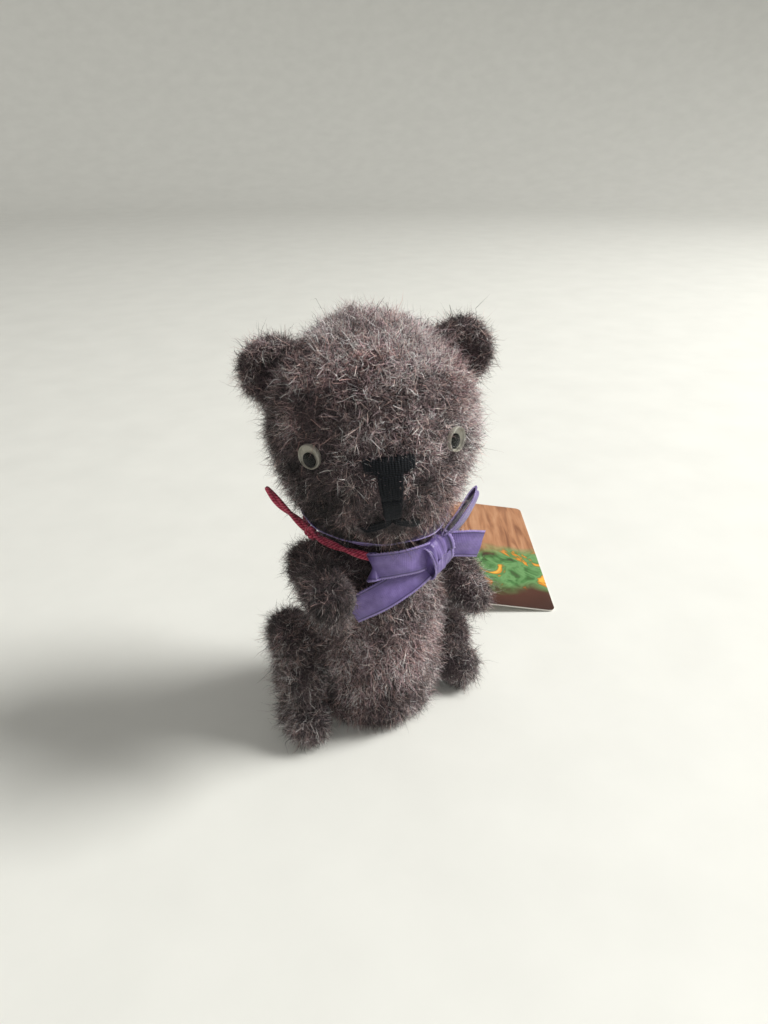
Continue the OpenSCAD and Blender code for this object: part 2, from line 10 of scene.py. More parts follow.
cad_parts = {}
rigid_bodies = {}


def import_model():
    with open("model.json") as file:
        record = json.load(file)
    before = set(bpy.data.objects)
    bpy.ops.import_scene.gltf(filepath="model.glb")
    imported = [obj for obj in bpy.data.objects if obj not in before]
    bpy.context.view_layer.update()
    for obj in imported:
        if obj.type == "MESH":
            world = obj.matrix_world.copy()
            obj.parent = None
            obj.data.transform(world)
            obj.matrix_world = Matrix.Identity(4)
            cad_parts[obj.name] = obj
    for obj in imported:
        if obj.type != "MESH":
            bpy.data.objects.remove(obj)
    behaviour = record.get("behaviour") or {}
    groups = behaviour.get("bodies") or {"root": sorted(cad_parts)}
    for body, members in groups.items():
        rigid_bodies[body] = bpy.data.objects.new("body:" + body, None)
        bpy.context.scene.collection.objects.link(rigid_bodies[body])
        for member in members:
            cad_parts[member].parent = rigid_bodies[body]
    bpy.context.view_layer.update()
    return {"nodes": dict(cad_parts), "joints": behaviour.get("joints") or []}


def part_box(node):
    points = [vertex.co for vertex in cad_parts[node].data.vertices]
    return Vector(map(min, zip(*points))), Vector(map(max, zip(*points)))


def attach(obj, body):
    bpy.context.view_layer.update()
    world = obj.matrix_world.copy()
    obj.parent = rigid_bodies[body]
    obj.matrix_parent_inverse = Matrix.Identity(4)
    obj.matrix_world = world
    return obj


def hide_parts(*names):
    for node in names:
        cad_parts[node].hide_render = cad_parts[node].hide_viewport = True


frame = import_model()
nodes = frame["nodes"]
joints = {joint["name"]: joint for joint in frame["joints"]}
mm = 0.001
print("frame loaded")

# the bear's own places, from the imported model
neckTop = Vector(joints["neck_swivel"]["pos_m"])
limbJoints = ("left_shoulder", "right_shoulder", "left_hip", "right_hip")
up = Vector((0, 0, 1))


def turnBy(degrees, axis):
    return Matrix.Rotation(radians(degrees), 4, axis)


def tone(red, green, blue):
    # a colour as a paint chart gives it, made linear
    return tuple(((c / 255) / 12.92 if c < 10.3 else ((c / 255 + 0.055) / 1.055) ** 2.4)
                 for c in (red, green, blue)) + (1.0,)


# camera
view = {
    "place": Vector((-0.0745, -0.1337, 0.130)), "pitch": 63, "yaw": -30,
    "lens": 27.04, "sensor": 36, "nearest": 0.005,
}


def addObject(name, data):
    made = bpy.data.objects.new(name, data)
    bpy.context.scene.collection.objects.link(made)
    return made


cameraData = bpy.data.cameras.new("camera")
cameraData.sensor_fit = "VERTICAL"
cameraData.sensor_height = view["sensor"]
cameraData.lens = view["lens"]
cameraData.clip_start = view["nearest"]
camera = addObject("camera", cameraData)
camera.location = view["place"]
camera.rotation_euler = (radians(view["pitch"]), 0, radians(view["yaw"]))
bpy.context.scene.camera = camera
bpy.context.scene.view_settings.view_transform = "Standard"


# materials: every one is built from nodes

def newMaterial(name, roughness=0.6, specular=0.3, **constants):
    material = bpy.data.materials.new(name)
    material.use_nodes = True
    tree = material.node_tree
    shader = tree.nodes["Principled BSDF"]
    shader.inputs["Roughness"].default_value = roughness
    shader.inputs["Specular IOR Level"].default_value = specular
    for socket, value in constants.items():
        shader.inputs[socket.replace("_", " ")].default_value = value
    return material, tree, shader


def feed(tree, target, value):
    if isinstance(value, bpy.types.NodeSocket):
        tree.links.new(value, target)
    else:
        target.default_value = value


def addNode(tree, kind, settings=None, **inputs):
    node = tree.nodes.new(kind)
    for key, value in (settings or {}).items():
        setattr(node, key, value)
    for socket, value in inputs.items():
        feed(tree, node.inputs[socket.replace("_", " ")], value)
    return node


def addMath(tree, operation, *values):
    node = addNode(tree, "ShaderNodeMath", {"operation": operation})
    for target, value in zip(node.inputs, values):
        feed(tree, target, value)
    return node.outputs["Value"]


def addNoise(tree, place, scale, detail, **inputs):
    return addNode(tree, "ShaderNodeTexNoise", Vector=place, Scale=scale, Detail=detail,
                   **inputs).outputs["Fac"]


def mapRange(tree, value, low, high):
    return addNode(tree, "ShaderNodeMapRange", Value=value, From_Min=low,
                   From_Max=high).outputs["Result"]


def mix(tree, share, first, second, **settings):
    return addNode(tree, "ShaderNodeMixRGB", settings, Fac=share, Color1=first,
                   Color2=second).outputs["Color"]


def ramp(tree, factor, *stops):
    # each stop is a place from 0 to 1 and a paint chart's red, green and blue
    node = addNode(tree, "ShaderNodeValToRGB", Fac=factor)
    points = node.color_ramp.elements
    while len(points) < len(stops):
        points.new(0.5)
    for point, (place, *colour) in zip(points, stops):
        point.position = place
        point.color = tone(*colour)
    return node.outputs["Color"]


def paint(tree, shader, colour):
    tree.links.new(colour, shader.inputs["Base Color"])


def bump(tree, shader, height, strength, distance):
    node = addNode(tree, "ShaderNodeBump", Height=height, Strength=strength, Distance=distance)
    tree.links.new(node.outputs["Normal"], shader.inputs["Normal"])


def stretched(tree, place, scale, turn=(0, 0, 0), shift=(0, 0, 0)):
    return addNode(tree, "ShaderNodeMapping", Vector=place, Scale=scale, Rotation=turn,
                   Location=shift).outputs["Vector"]


def objectPlace(tree, scale=(1, 1, 1), turn=(0, 0, 0), shift=(0, 0, 0)):
    coordinates = tree.nodes.new("ShaderNodeTexCoord")
    return stretched(tree, coordinates.outputs["Object"], scale, turn, shift)


def mapPlace(tree, name):
    return addNode(tree, "ShaderNodeUVMap", {"uv_map": name}).outputs["UV"]


def plyWave(tree, stretch, **inputs):
    # slanting bands along a twisted strand
    return addNode(tree, "ShaderNodeTexWave", {"bands_direction": "DIAGONAL"},
                   Vector=stretched(tree, mapPlace(tree, "yarnUV"), stretch), Scale=1.0,
                   **inputs).outputs["Fac"]


def pileMaterial():
    material, tree, shader = newMaterial("brushedPile", 0.5, 0.4, Sheen_Weight=0.15,
                                         Sheen_Roughness=0.5)
    shade = addNode(tree, "ShaderNodeAttribute", {"attribute_name": "pileShade"})
    paint(tree, shader, shade.outputs["Color"])
    return material


def backingMaterial():
    # the dense underfur and cloth that shows between the longer fibres
    material, tree, shader = newMaterial("denseUnderfur", 0.9, 0.1, Sheen_Weight=0.3)
    place = objectPlace(tree)
    fine, broad = addNoise(tree, place, 2200.0, 3.0), addNoise(tree, place, 160.0, 2.0)
    paint(tree, shader, ramp(tree, addMath(tree, "MULTIPLY", fine, broad), (0.12, 30, 26, 29),
                             (0.28, 70, 60, 63), (0.45, 108, 94, 95)))
    bump(tree, shader, fine, 0.8, 0.4 * mm)
    return material


def satinMaterial():
    # U runs across the ribbon and V along it, in millimetres
    ribsAcross, pickPitch = 15, 0.42
    material, tree, shader = newMaterial("purpleSatin", 0.34, 0.5, Sheen_Weight=0.12,
                                         Sheen_Roughness=0.3)
    parts = addNode(tree, "ShaderNodeSeparateXYZ", Vector=mapPlace(tree, "ribbonUV"))
    across, along = parts.outputs["X"], parts.outputs["Y"]
    edgeTone = ramp(tree, addMath(tree, "PINGPONG", across, 0.5), (0.0, 168, 152, 208),
                    (0.035, 136, 118, 180), (0.065, 50, 38, 82), (0.1, 106, 89, 150),
                    (0.3, 124, 106, 168))
    cloth = ramp(tree, addNoise(tree, objectPlace(tree), 700.0, 3.0), (0.3, 150, 145, 165),
                 (0.7, 255, 255, 255))
    paint(tree, shader, mix(tree, 0.45, edgeTone, cloth, blend_type="MULTIPLY"))
    waves = [addMath(tree, "SINE", addMath(tree, "MULTIPLY", way, rate))
             for way, rate in ((across, 2 * pi * ribsAcross), (along, 2 * pi / pickPitch))]
    bump(tree, shader, addMath(tree, "ADD", *waves), 0.35, 0.05 * mm)
    return material


def yarnMaterial():
    material, tree, shader = newMaterial("crimsonYarn", 0.8, 0.2, Sheen_Weight=0.2,
                                         Sheen_Roughness=0.5)
    twist = plyWave(tree, (2.0, 0.9, 1.0), Distortion=2.5, Detail=2.0)
    fibre = addNoise(tree, objectPlace(tree), 1500.0, 3.0)
    # painted shade and highlight: the twist's bands run from dark crimson to a pink highlight,
    # broken by fibre speckle
    both = addMath(tree, "MULTIPLY_ADD", twist, 0.5, fibre)
    paint(tree, shader, ramp(tree, both, (0.3, 84, 12, 32), (0.6, 160, 42, 68),
                             (0.95, 206, 96, 116)))
    bump(tree, shader, both, 0.7, 0.12 * mm)
    return material


def threadMaterial():
    material, tree, shader = newMaterial("blackThread", 0.6, 0.18, Sheen_Weight=0.02)
    twist = plyWave(tree, (2.0, 1.6, 1.0), Distortion=1.5)
    paint(tree, shader, ramp(tree, twist, (0.2, 4, 6, 9), (0.8, 22, 26, 33)))
    bump(tree, shader, twist, 0.6, 0.08 * mm)
    return material


def speckledMaterial(name, roughness, specular, scale, detail, stops, relief=None,
                     stretch=(1, 1, 1), **constants):
    # one tone broken up by fine noise; relief is a bump's strength and distance
    material, tree, shader = newMaterial(name, roughness, specular, **constants)
    specks = addNoise(tree, objectPlace(tree, stretch), scale, detail)
    paint(tree, shader, ramp(tree, specks, *stops))
    if relief:
        bump(tree, shader, specks, *relief)
    return material


def cardMaterial(turnAbout, shift):
    # a printed card: soft bands of colour on its upper face, plain paper under it
    cardLength, lowerEnd, middleEnd, blend = 0.067, 0.018, 0.040, 0.006
    material, tree, shader = newMaterial("printedCard", 0.32, 0.45)
    place = objectPlace(tree, turn=(0, 0, turnAbout), shift=shift)
    parts = addNode(tree, "ShaderNodeSeparateXYZ", Vector=place)
    grain = addNoise(tree, stretched(tree, place, (60, 420, 60)), 1.0, 4.0, Distortion=0.6)
    wood = ramp(tree, grain, (0.3, 130, 84, 58), (0.5, 178, 126, 90), (0.7, 200, 152, 116))
    patches = addNoise(tree, place, 110.0, 3.0, Roughness=0.6, Distortion=1.2)
    leaf = ramp(tree, patches, (0.3, 62, 40, 34), (0.4, 70, 118, 62), (0.5, 112, 158, 100),
                (0.56, 84, 128, 70), (0.6, 214, 132, 40), (0.68, 240, 184, 70))
    wobble = addNoise(tree, place, 70.0, 2.0)
    height = addMath(tree, "MULTIPLY_ADD", wobble, 0.02, parts.outputs["X"])
    lower = ramp(tree, mapRange(tree, height, 0.0, cardLength), (0.0, 40, 26, 24),
                 (0.3, 84, 48, 36), (1.0, 92, 56, 40))
    picture = lower
    for start, band in ((lowerEnd, leaf), (middleEnd, wood)):
        picture = mix(tree, mapRange(tree, height, start, start + blend), picture, band)
    facing = addNode(tree, "ShaderNodeSeparateXYZ",
                     Vector=tree.nodes.new("ShaderNodeTexCoord").outputs["Normal"])
    paper = addNoise(tree, place, 1800.0, 4.0)
    plain = ramp(tree, paper, (0.3, 206, 202, 194), (0.7, 228, 225, 218))
    paint(tree, shader, mix(tree, mapRange(tree, facing.outputs["Z"], 0.4, 0.6), plain, picture))
    bump(tree, shader, paper, 0.1, 0.03 * mm)
    return material


pileLook, underfurLook = pileMaterial(), backingMaterial()
satinLook, yarnLook, threadLook = satinMaterial(), yarnMaterial(), threadMaterial()
# the eye cup is off-white with a little yellowing, and painted greyer as painted shade, as it
# looks in the face's shade
shadedWhiteLook = speckledMaterial("eyeWhiteShaded", 0.3, 0.5, 900.0, 4.0, (
    (0.25, 156, 150, 138), (0.6, 186, 182, 171)), (0.15, 0.05 * mm))
domeLook = speckledMaterial("clearDome", 0.02, 0.5, 600.0, 2.0, (
    (0.3, 247, 247, 244), (0.7, 255, 255, 255)), Transmission_Weight=1.0, IOR=1.03,
    Coat_Weight=0.12, Coat_Roughness=0.03)
pupilLook = speckledMaterial("pupilBlack", 0.3, 0.15, 2500.0, 2.0, (
    (0.5, 4, 5, 6), (0.8, 14, 15, 18)))
hardboardLook = speckledMaterial("hardboard", 0.8, 0.2, 1400.0, 5.0, (
    (0.3, 92, 62, 38), (0.7, 150, 112, 74)), (0.4, 0.06 * mm), (1, 1, 3))
steelLook = speckledMaterial("plainSteel", 0.35, 0.5, 500.0, 3.0, (
    (0.3, 150, 152, 156), (0.7, 198, 200, 204)), stretch=(8, 8, 1), Metallic=1.0)
print("materials made")


# making pieces

def meshFrom(name, bm):
    mesh = bpy.data.meshes.new(name)
    bm.to_mesh(mesh)
    bm.free()
    return mesh


def addPiece(name, form, look, body, stands=()):
    isOpenForm = isinstance(form, bmesh.types.BMesh)
    mesh = meshFrom(name, form) if isOpenForm else form
    mesh.materials.append(look)
    mesh.shade_smooth()
    piece = addObject(name, mesh)
    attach(piece, body)
    if stands:
        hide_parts(*stands)
    return piece


def applyModifiers(piece):
    evaluated = piece.evaluated_get(bpy.context.evaluated_depsgraph_get())
    mesh = bpy.data.meshes.new_from_object(evaluated)
    piece.modifiers.clear()
    piece.data = mesh
    return piece


def wrapGrid(bm, columns, rows, place, uvName, closedAcross=False, uvScale=(1.0, 1.0)):
    # a flat grid whose points are moved to place(u, v); both run from 0 to 1
    uvLayer = bm.loops.layers.uv.get(uvName) or bm.loops.layers.uv.new(uvName)
    made = bmesh.ops.create_grid(bm, x_segments=columns, y_segments=rows, size=0.5)["verts"]
    flat = {vert: (vert.co.x + 0.5, vert.co.y + 0.5) for vert in made}
    for face in {face for vert in made for face in vert.link_faces}:
        for loop in face.loops:
            u, v = flat[loop.vert]
            loop[uvLayer].uv = (u * uvScale[0], v * uvScale[1])
    for vert, (u, v) in flat.items():
        vert.co = place(u, v)
    if closedAcross:
        bmesh.ops.remove_doubles(bm, verts=made, dist=1e-7)
        made = [vert for vert in made if vert.is_valid]
    return made


def smoothRoute(points, spacing):
    # a Catmull-Rom curve through the points, in equal steps
    points = [Vector(p) for p in points]
    ends = [points[0] * 2 - points[1]] + points + [points[-1] * 2 - points[-2]]
    dense = []
    for a, b, c, d in zip(ends, ends[1:], ends[2:], ends[3:]):
        for step in range(16):
            t = step / 16
            dense.append(0.5 * (2 * b + (c - a) * t + (2 * a - 5 * b + 4 * c - d) * t * t
                                + (3 * b - a - 3 * c + d) * t ** 3))
    dense.append(points[-1])
    reach = np.cumsum([0] + [(b - a).length for a, b in zip(dense, dense[1:])])
    count = max(3, int(reach[-1] / spacing))
    along = np.linspace(0, reach[-1], count)
    array = np.array([tuple(p) for p in dense])
    return [Vector(p) for p in np.stack([np.interp(along, reach, array[:, k])
                                         for k in range(3)], 1)]


def routeLength(route):
    return sum((b - a).length for a, b in zip(route, route[1:]))


def routeFrames(route, first=up):
    # a tangent and two directions square to it at each point, without twist
    frames, side = [], None
    for i in range(len(route)):
        tangent = (route[min(i + 1, len(route) - 1)] - route[max(i - 1, 0)]).normalized()
        side = (first if side is None else side)
        side = (side - tangent * side.dot(tangent)).normalized()
        frames.append((route[i], tangent, side, tangent.cross(side)))
    return frames


def addTube(bm, route, radius, sides=8, offset=None, first=up, uvName="yarnUV"):
    # radius(v) tapers the ends; offset(v) moves the centre, as in a twisted ply
    frames = routeFrames(route, first)
    last = len(frames) - 1

    def place(u, v):
        centre, _, side, other = frames[round(v * last)]
        if offset:
            a, b = offset(v)
            centre = centre + side * a + other * b
        angle = 2 * pi * u
        return centre + (side * cos(angle) + other * sin(angle)) * radius(v)

    made = wrapGrid(bm, sides, last, place, uvName, True, (1.0, routeLength(route) / mm))
    rims = [e for e in {e for v in made for e in v.link_edges} if e.is_boundary]
    bmesh.ops.holes_fill(bm, edges=rims, sides=sides + 1)
    return made


# yarn
yarn = {
    "diameter": 1.7 * mm, "plyRadius": 0.5 * mm, "plyOut": 0.4 * mm, "twist": 15 * mm,
    "neckRoute": [
        (7.4, 11.4, 50.2), (11, 8.2, 50.2), (13.4, 4, 50.4), (14.2, -0.8, 50.4), (13, -5.4, 49),
        (10.4, -9.2, 47.2), (6.8, -11.8, 46.2), (2.4, -13.2, 46.2), (-2, -13.8, 47),
        (-6.2, -13.2, 48.4), (-9.8, -11, 49.6), (-12.8, -7.6, 50.4), (-14.8, -3.8, 51),
        (-16, 0, 51.8), (-17.6, 3, 53.8), (-19.9, 5.8, 56.6), (-21.8, 8.2, 60)],
    "tagRoute": [
        (-15.4, 1.4, 51.6), (-13.8, 5.6, 51.8), (-10.8, 9.2, 52), (-7, 12.3, 52),
        (-2.4, 13.8, 51.2), (1.6, 14.8, 49.2), (4.4, 15.8, 45.8), (6, 16.4, 41.6),
        (7.2, 16.8, 37.2), (8.2, 17, 32.8), (9.2, 17.2, 28.4), (10.2, 17.6, 24),
        (11.4, 18.2, 19.6), (12.8, 19.2, 15.2), (14.8, 20.6, 11), (17.6, 22.2, 7.2),
        (21, 24, 4.4), (25, 26, 2.8), (29, 27.8, 2.6), (31.8, 29.2, 4), (32.6, 29.6, 6.4)],
    "knotRadius": 1.7 * mm,
}


def twistedYarn(name, route, node):
    route = smoothRoute([Vector(p) * mm for p in route], 0.35 * mm)
    turns = routeLength(route) / yarn["twist"]
    bm = bmesh.new()
    for ply in (0, pi):
        addTube(bm, route,
                lambda v: yarn["plyRadius"] * (0.55 if v in (0, 1) else 1),
                8, lambda v, ply=ply: (yarn["plyOut"] * cos(2 * pi * turns * v + ply),
                                       yarn["plyOut"] * sin(2 * pi * turns * v + ply)))
    piece = addPiece(name, bm, yarnLook, "torso", [node])
    return piece, route


def yarnKnot(name, centre, node, lean):
    # an overhand knot: a closed loop of yarn that passes through itself three times
    bm = bmesh.new()
    size = yarn["knotRadius"] * 0.36
    turn = lean.to_4x4()
    route = []
    for i in range(73):
        t = 2 * pi * i / 72
        at = Vector((sin(t) + 2 * sin(2 * t), cos(t) - 2 * cos(2 * t), -1.6 * sin(3 * t))) * size
        route.append(centre + turn @ (at * 0.72))
    addTube(bm, route, lambda v: yarn["plyRadius"] * 1.05, 8)
    return addPiece(name, bm, yarnLook, "torso", [node])


def middle(node):
    low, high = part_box(node)
    return (low + high) / 2


neckYarn, neckRoute = twistedYarn("neckYarn", yarn["neckRoute"], "neck_yarn")
tagYarn, tagRoute = twistedYarn("tagYarn", yarn["tagRoute"], "tag_yarn")
neckKnot = yarnKnot("yarnKnot", middle("yarn_knot"), "yarn_knot", turnBy(50, "Y"))
tagKnot = yarnKnot("tagKnot", middle("tag_knot"), "tag_knot", turnBy(8, "X"))
tuple(neckRoute[0])
routeLength(neckRoute)
[tuple(p) for p in neckRoute]
tuple(tagRoute[0])
routeLength(tagRoute)
[tuple(p) for p in tagRoute]
print("yarn made")


# stuffed skins
torso = {
    "beltRadius": 15 * mm, "beltHeight": 21 * mm, "seatRadius": 11 * mm, "neckRadius": 8 * mm,
    "height": neckTop.z, "fullness": 0.6, "steps": 9, "voxel": 0.8 * mm,
    "around": 72, "flatRadius": 4.6 * mm,
}
head = {
    "radius": 21.3 * mm, "turn": -22, "tilt": 4,
    "muzzleRadius": 15.2 * mm, "muzzleOut": 8.8 * mm, "muzzleDrop": 5 * mm,
    "gap": 0.25 * mm, "voxel": 0.85 * mm,
    "cheekRadius": 12 * mm, "cheekOut": 7.3 * mm, "cheekDrop": 8 * mm, "chinDrop": 1.0 * mm,
    "crownPlace": Vector((0.0, 0.42, 0.9)), "crownRise": 1.5 * mm, "crownWidth": 8 * mm,
}
ear = {
    "radius": 6.6 * mm, "thickness": 4.4 * mm, "hollow": 1.9 * mm,
    "side": 19 * mm, "forward": 1 * mm, "above": 12.5 * mm, "turn": 10, "voxel": 0.45 * mm,
}
arm = {
    "radius": 4.4 * mm, "length": 18.5 * mm, "raise": {"left": 30, "right": 95},
    "spread": {"left": 5.5 * mm, "right": 3.5 * mm}, "gap": 0.25 * mm, "voxel": 0.5 * mm,
    "rootRadius": 4.2 * mm, "flatRadius": 4.4 * mm,
}
leg = {
    "thighRadius": 7 * mm, "thickness": 8.7 * mm, "edge": 3.2 * mm,
    "footRadius": 5.1 * mm, "footOut": 5.5 * mm, "footLift": 0.3 * mm, "rise": 9 * mm,
    "gap": 0.25 * mm, "besideBelly": 0.35 * mm, "rootRadius": 4.2 * mm, "rootInto": 2 * mm,
    "voxel": 0.5 * mm,
}
headCentre = Vector((0, 0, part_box("head_skin")[1].z - head["radius"]))
headFrame = Matrix.Translation(headCentre) @ turnBy(head["turn"], "Z")
faceFrame = headFrame @ turnBy(-head["tilt"], "Y")
faceBack = faceFrame.inverted()


def torsoRadius(height):
    belly, low, neck = torso["beltRadius"], torso["seatRadius"], torso["neckRadius"]
    beltHeight = torso["beltHeight"]
    if height < beltHeight:
        fall = (beltHeight - height) / beltHeight
        return low + (belly - low) * sqrt(max(0, 1 - fall ** 2))
    rise = (height - beltHeight) / (torso["height"] - beltHeight)
    return neck + (belly - neck) * max(0, 1 - rise ** 2) ** torso["fullness"]


def stuffedSkin(name, bm, voxel, body, stands, shape=None):
    # melts the forms into one skin, relaxes it and gives it the lumps of its stuffing
    piece = addPiece(name, bm, underfurLook, body, stands)
    melt = piece.modifiers.new("melt", "REMESH")
    melt.mode = "VOXEL"
    melt.voxel_size = voxel
    applyModifiers(piece)
    skin = bmesh.new()
    skin.from_mesh(piece.data)
    for _ in range(3):
        bmesh.ops.smooth_vert(skin, verts=skin.verts, factor=0.5, use_axis_x=True,
                              use_axis_y=True, use_axis_z=True)
    skin.normal_update()
    for vert in skin.verts:
        lump = noise.noise(vert.co * 110) * 0.35 + noise.noise(vert.co * 330) * 0.15
        vert.co += vert.normal * lump * mm
        if shape:
            vert.co = shape(vert.co.copy(), vert.normal)
    skin.to_mesh(piece.data)
    skin.free()
    piece.data.materials.clear()
    piece.data.materials.append(underfurLook)
    piece.data.shade_smooth()
    return piece


def spunForm(outline, around):
    # turns an outline of radii and heights about the Z axis
    bm = bmesh.new()
    verts = [bm.verts.new((r, 0, z)) for r, z in outline]
    edges = [bm.edges.new(pair) for pair in zip(verts, verts[1:])]
    bmesh.ops.spin(bm, geom=verts + edges, cent=(0, 0, 0), axis=(0, 0, 1), angle=2 * pi,
                   steps=around, use_merge=True)
    bmesh.ops.remove_doubles(bm, verts=bm.verts, dist=1e-6)
    bmesh.ops.recalc_face_normals(bm, faces=bm.faces)
    return bm


def addBall(bm, radius, place, across=32, upward=20):
    bmesh.ops.create_uvsphere(bm, u_segments=across, v_segments=upward, radius=radius,
                              matrix=place)


def addRod(bm, radius, depth, place, sides=32):
    return bmesh.ops.create_cone(bm, cap_ends=True, segments=sides, radius1=radius,
                                 radius2=radius, depth=depth, matrix=place)["verts"]


def makeTorso():
    belt, rest, steps = torso["beltHeight"], torso["height"] - torso["beltHeight"], torso["steps"]
    heights = [belt * (1 - cos(pi / 2 * i / steps)) for i in range(steps + 1)]
    heights += [belt + rest * sin(pi / 2 * i / steps) for i in range(1, steps + 1)]
    outline = [(0, 0)] + [(torsoRadius(z), z) for z in heights] + [(0, torso["height"])]
    flats = [Vector(joints[name]["pos_m"]) for name in limbJoints]

    def shape(co, _):
        for flat in flats:
            reach = sqrt((co.y - flat.y) ** 2 + (co.z - flat.z) ** 2)
            if reach < torso["flatRadius"] and co.x * flat.x > 0 and abs(co.x) > abs(flat.x):
                co.x = flat.x
        co.z = min(max(co.z, 0), torso["height"])
        return co

    return stuffedSkin("torsoPlush", spunForm(outline, torso["around"]), torso["voxel"],
                       "torso", ["torso_skin", "torso_filling"], shape)


def makeHead():
    bm = bmesh.new()
    addBall(bm, head["radius"], headFrame, 64, 40)
    addBall(bm, head["muzzleRadius"], faceFrame @ Matrix.Translation(
        (0, -head["muzzleOut"], -head["muzzleDrop"])), 56, 32)
    for angle in range(0, 360, 20):
        addBall(bm, head["cheekRadius"], headFrame @ turnBy(angle, "Z") @ Matrix.Translation(
            (head["cheekOut"], 0, -head["cheekDrop"])), 32, 24)
    crown = headCentre + head["crownPlace"].normalized() * head["radius"]
    lowest = neckTop.z + head["gap"]

    def shape(co, normal):
        near = (co - crown).length / head["crownWidth"]
        if near < 1:
            co += normal * head["crownRise"] * (1 - near * near) ** 2
        co.z = max(co.z, lowest)
        chin = faceBack @ co / mm
        if chin.y < -9 and chin.z < -12:
            co.z -= head["chinDrop"] * min(1, (-9 - chin.y) / 5, (-12 - chin.z) / 4)
        return co

    return stuffedSkin("headPlush", bm, head["voxel"], "head",
                       ["head_skin", "head_filling"], shape)


def earFrame(side):
    return faceFrame @ Matrix.Translation((side * ear["side"], ear["forward"], ear["above"])) \
        @ turnBy(side * ear["turn"], "Z")


def makeEar(side, name):
    bm = bmesh.new()
    addBall(bm, ear["radius"], Matrix(), 40, 24)
    half = ear["thickness"] / 2
    for vert in bm.verts:
        out = sqrt(vert.co.x ** 2 + vert.co.z ** 2) / ear["radius"]
        front = vert.co.y < 0
        vert.co.y = max(-half, min(half, vert.co.y * 0.75))
        if front:
            vert.co.y += ear["hollow"] * max(0, 1 - (out / 0.78) ** 2)
    bmesh.ops.transform(bm, matrix=earFrame(side), verts=bm.verts)
    return stuffedSkin(name + "EarPlush", bm, ear["voxel"], "head",
                       [name + "_ear"])


def makeArm(side, name):
    at = Vector(joints[name + "_shoulder"]["pos_m"])
    rise = arm["raise"][name]
    place = Matrix.Translation(at) @ turnBy(side * 90, "Y") \
        @ turnBy(-rise if side > 0 else 180 + rise, "Z")
    radius, gap = arm["radius"], arm["gap"]
    lean = atan(arm["spread"][name] / arm["length"])
    along = Vector((cos(lean), 0, sin(lean)))
    start = Vector((0, 0, gap + radius))
    bm = bmesh.new()
    addBall(bm, radius, Matrix.Translation(start))
    addBall(bm, radius * 1.02, Matrix.Translation(start + along * arm["length"]))
    addRod(bm, radius, arm["length"], Matrix.Translation(start + along * arm["length"] / 2)
           @ along.to_track_quat("Z", "Y").to_matrix().to_4x4())
    addRod(bm, arm["rootRadius"], radius, Matrix.Translation((0, 0, gap + radius / 2)))
    bmesh.ops.transform(bm, matrix=place, verts=bm.verts)
    back = place.inverted()

    def shape(co, _):
        local = back @ co
        reach = sqrt(local.x ** 2 + local.y ** 2)
        beside = gap
        if reach > arm["flatRadius"]:
            beside = max(torsoRadius(max(0, at.z - reach)),
                         torsoRadius(min(torso["height"], at.z + reach))) + gap - abs(at.x)
        local.z = max(local.z, beside, gap)
        return place @ local

    return stuffedSkin(name + "ArmPlush", bm, arm["voxel"], name + "_arm",
                       [name + "_arm_skin", name + "_arm_filling"], shape)


def makeLeg(side, name):
    at = Vector(joints[name + "_hip"]["pos_m"])
    place = Matrix.Translation(at) @ turnBy(side * 90, "Y") \
        @ turnBy(0 if side > 0 else 180, "Z")
    gap = leg["gap"]
    innerX = torso["beltRadius"] + leg["besideBelly"] - abs(at.x)
    bm = bmesh.new()
    # the right thigh is stuffed higher than the left
    for high, less in ((0, 0),) if side > 0 else ((0, 0), (leg["rise"], 0.5 * mm)):
        thigh = addRod(bm, leg["thighRadius"] - less, leg["thickness"], Matrix.Translation(
            (-high, -high / 3, innerX + leg["thickness"] / 2)), 48)
        rims = [e for e in {e for v in thigh for e in v.link_edges}
                if len(e.link_faces) == 2 and e.calc_face_angle() > 1]
        bmesh.ops.bevel(bm, geom=rims, offset=leg["edge"], segments=6, affect="EDGES",
                        profile=0.5, material=-1)
    drop = at.z - leg["footRadius"] - leg["footLift"]
    footZ = innerX + leg["footRadius"]
    for out, size in ((0.3, 1.0), (0.62, 1.0), (1.0, 1.02)):
        addBall(bm, leg["footRadius"] * size,
                Matrix.Translation((drop, -side * leg["footOut"] * out, footZ)))
    addRod(bm, leg["rootRadius"], innerX - gap + leg["rootInto"],
           Matrix.Translation((0, 0, (innerX + gap + leg["rootInto"]) / 2)))
    bmesh.ops.transform(bm, matrix=place, verts=bm.verts)

    def shape(co, _):
        co.z = max(co.z, leg["footLift"] * 0.5)
        if abs(co.x) < abs(at.x) + gap:
            co.x = side * (abs(at.x) + gap)
        return co

    return stuffedSkin(name + "LegPlush", bm, leg["voxel"], name + "_leg",
                       [name + "_leg_skin", name + "_leg_filling"], shape)


torsoPlush, headPlush = makeTorso(), makeHead()
ears = {"left": makeEar(1, "left"), "right": makeEar(-1, "right")}
arms = {"left": makeArm(1, "left"), "right": makeArm(-1, "right")}
legs = {"left": makeLeg(1, "left"), "right": makeLeg(-1, "right")}
print("stuffed skins made")


# eyes
eye = {
    "radius": 2.5 * mm, "cupHeight": 1.0 * mm, "wall": 0.25 * mm, "plate": 0.4 * mm,
    "domeHeight": 1.0 * mm, "steps": 64,
    "pupilRadius": 1.5 * mm, "pupilThickness": 0.35 * mm,
}


def spinOutline(outline, place):
    bm = spunForm(outline, eye["steps"])
    bmesh.ops.transform(bm, matrix=place, verts=bm.verts)
    return bm


def eyeFrame(name):
    joint = joints[name + "_pupil_roll"]
    outward = Vector(joint["axis"]).normalized()
    down = (outward * outward.z - up).normalized()
    turn = Matrix((down, outward.cross(down), outward)).transposed()
    return Matrix.Translation(Vector(joint["pos_m"]) - outward * 0.5 * mm) @ turn.to_4x4()


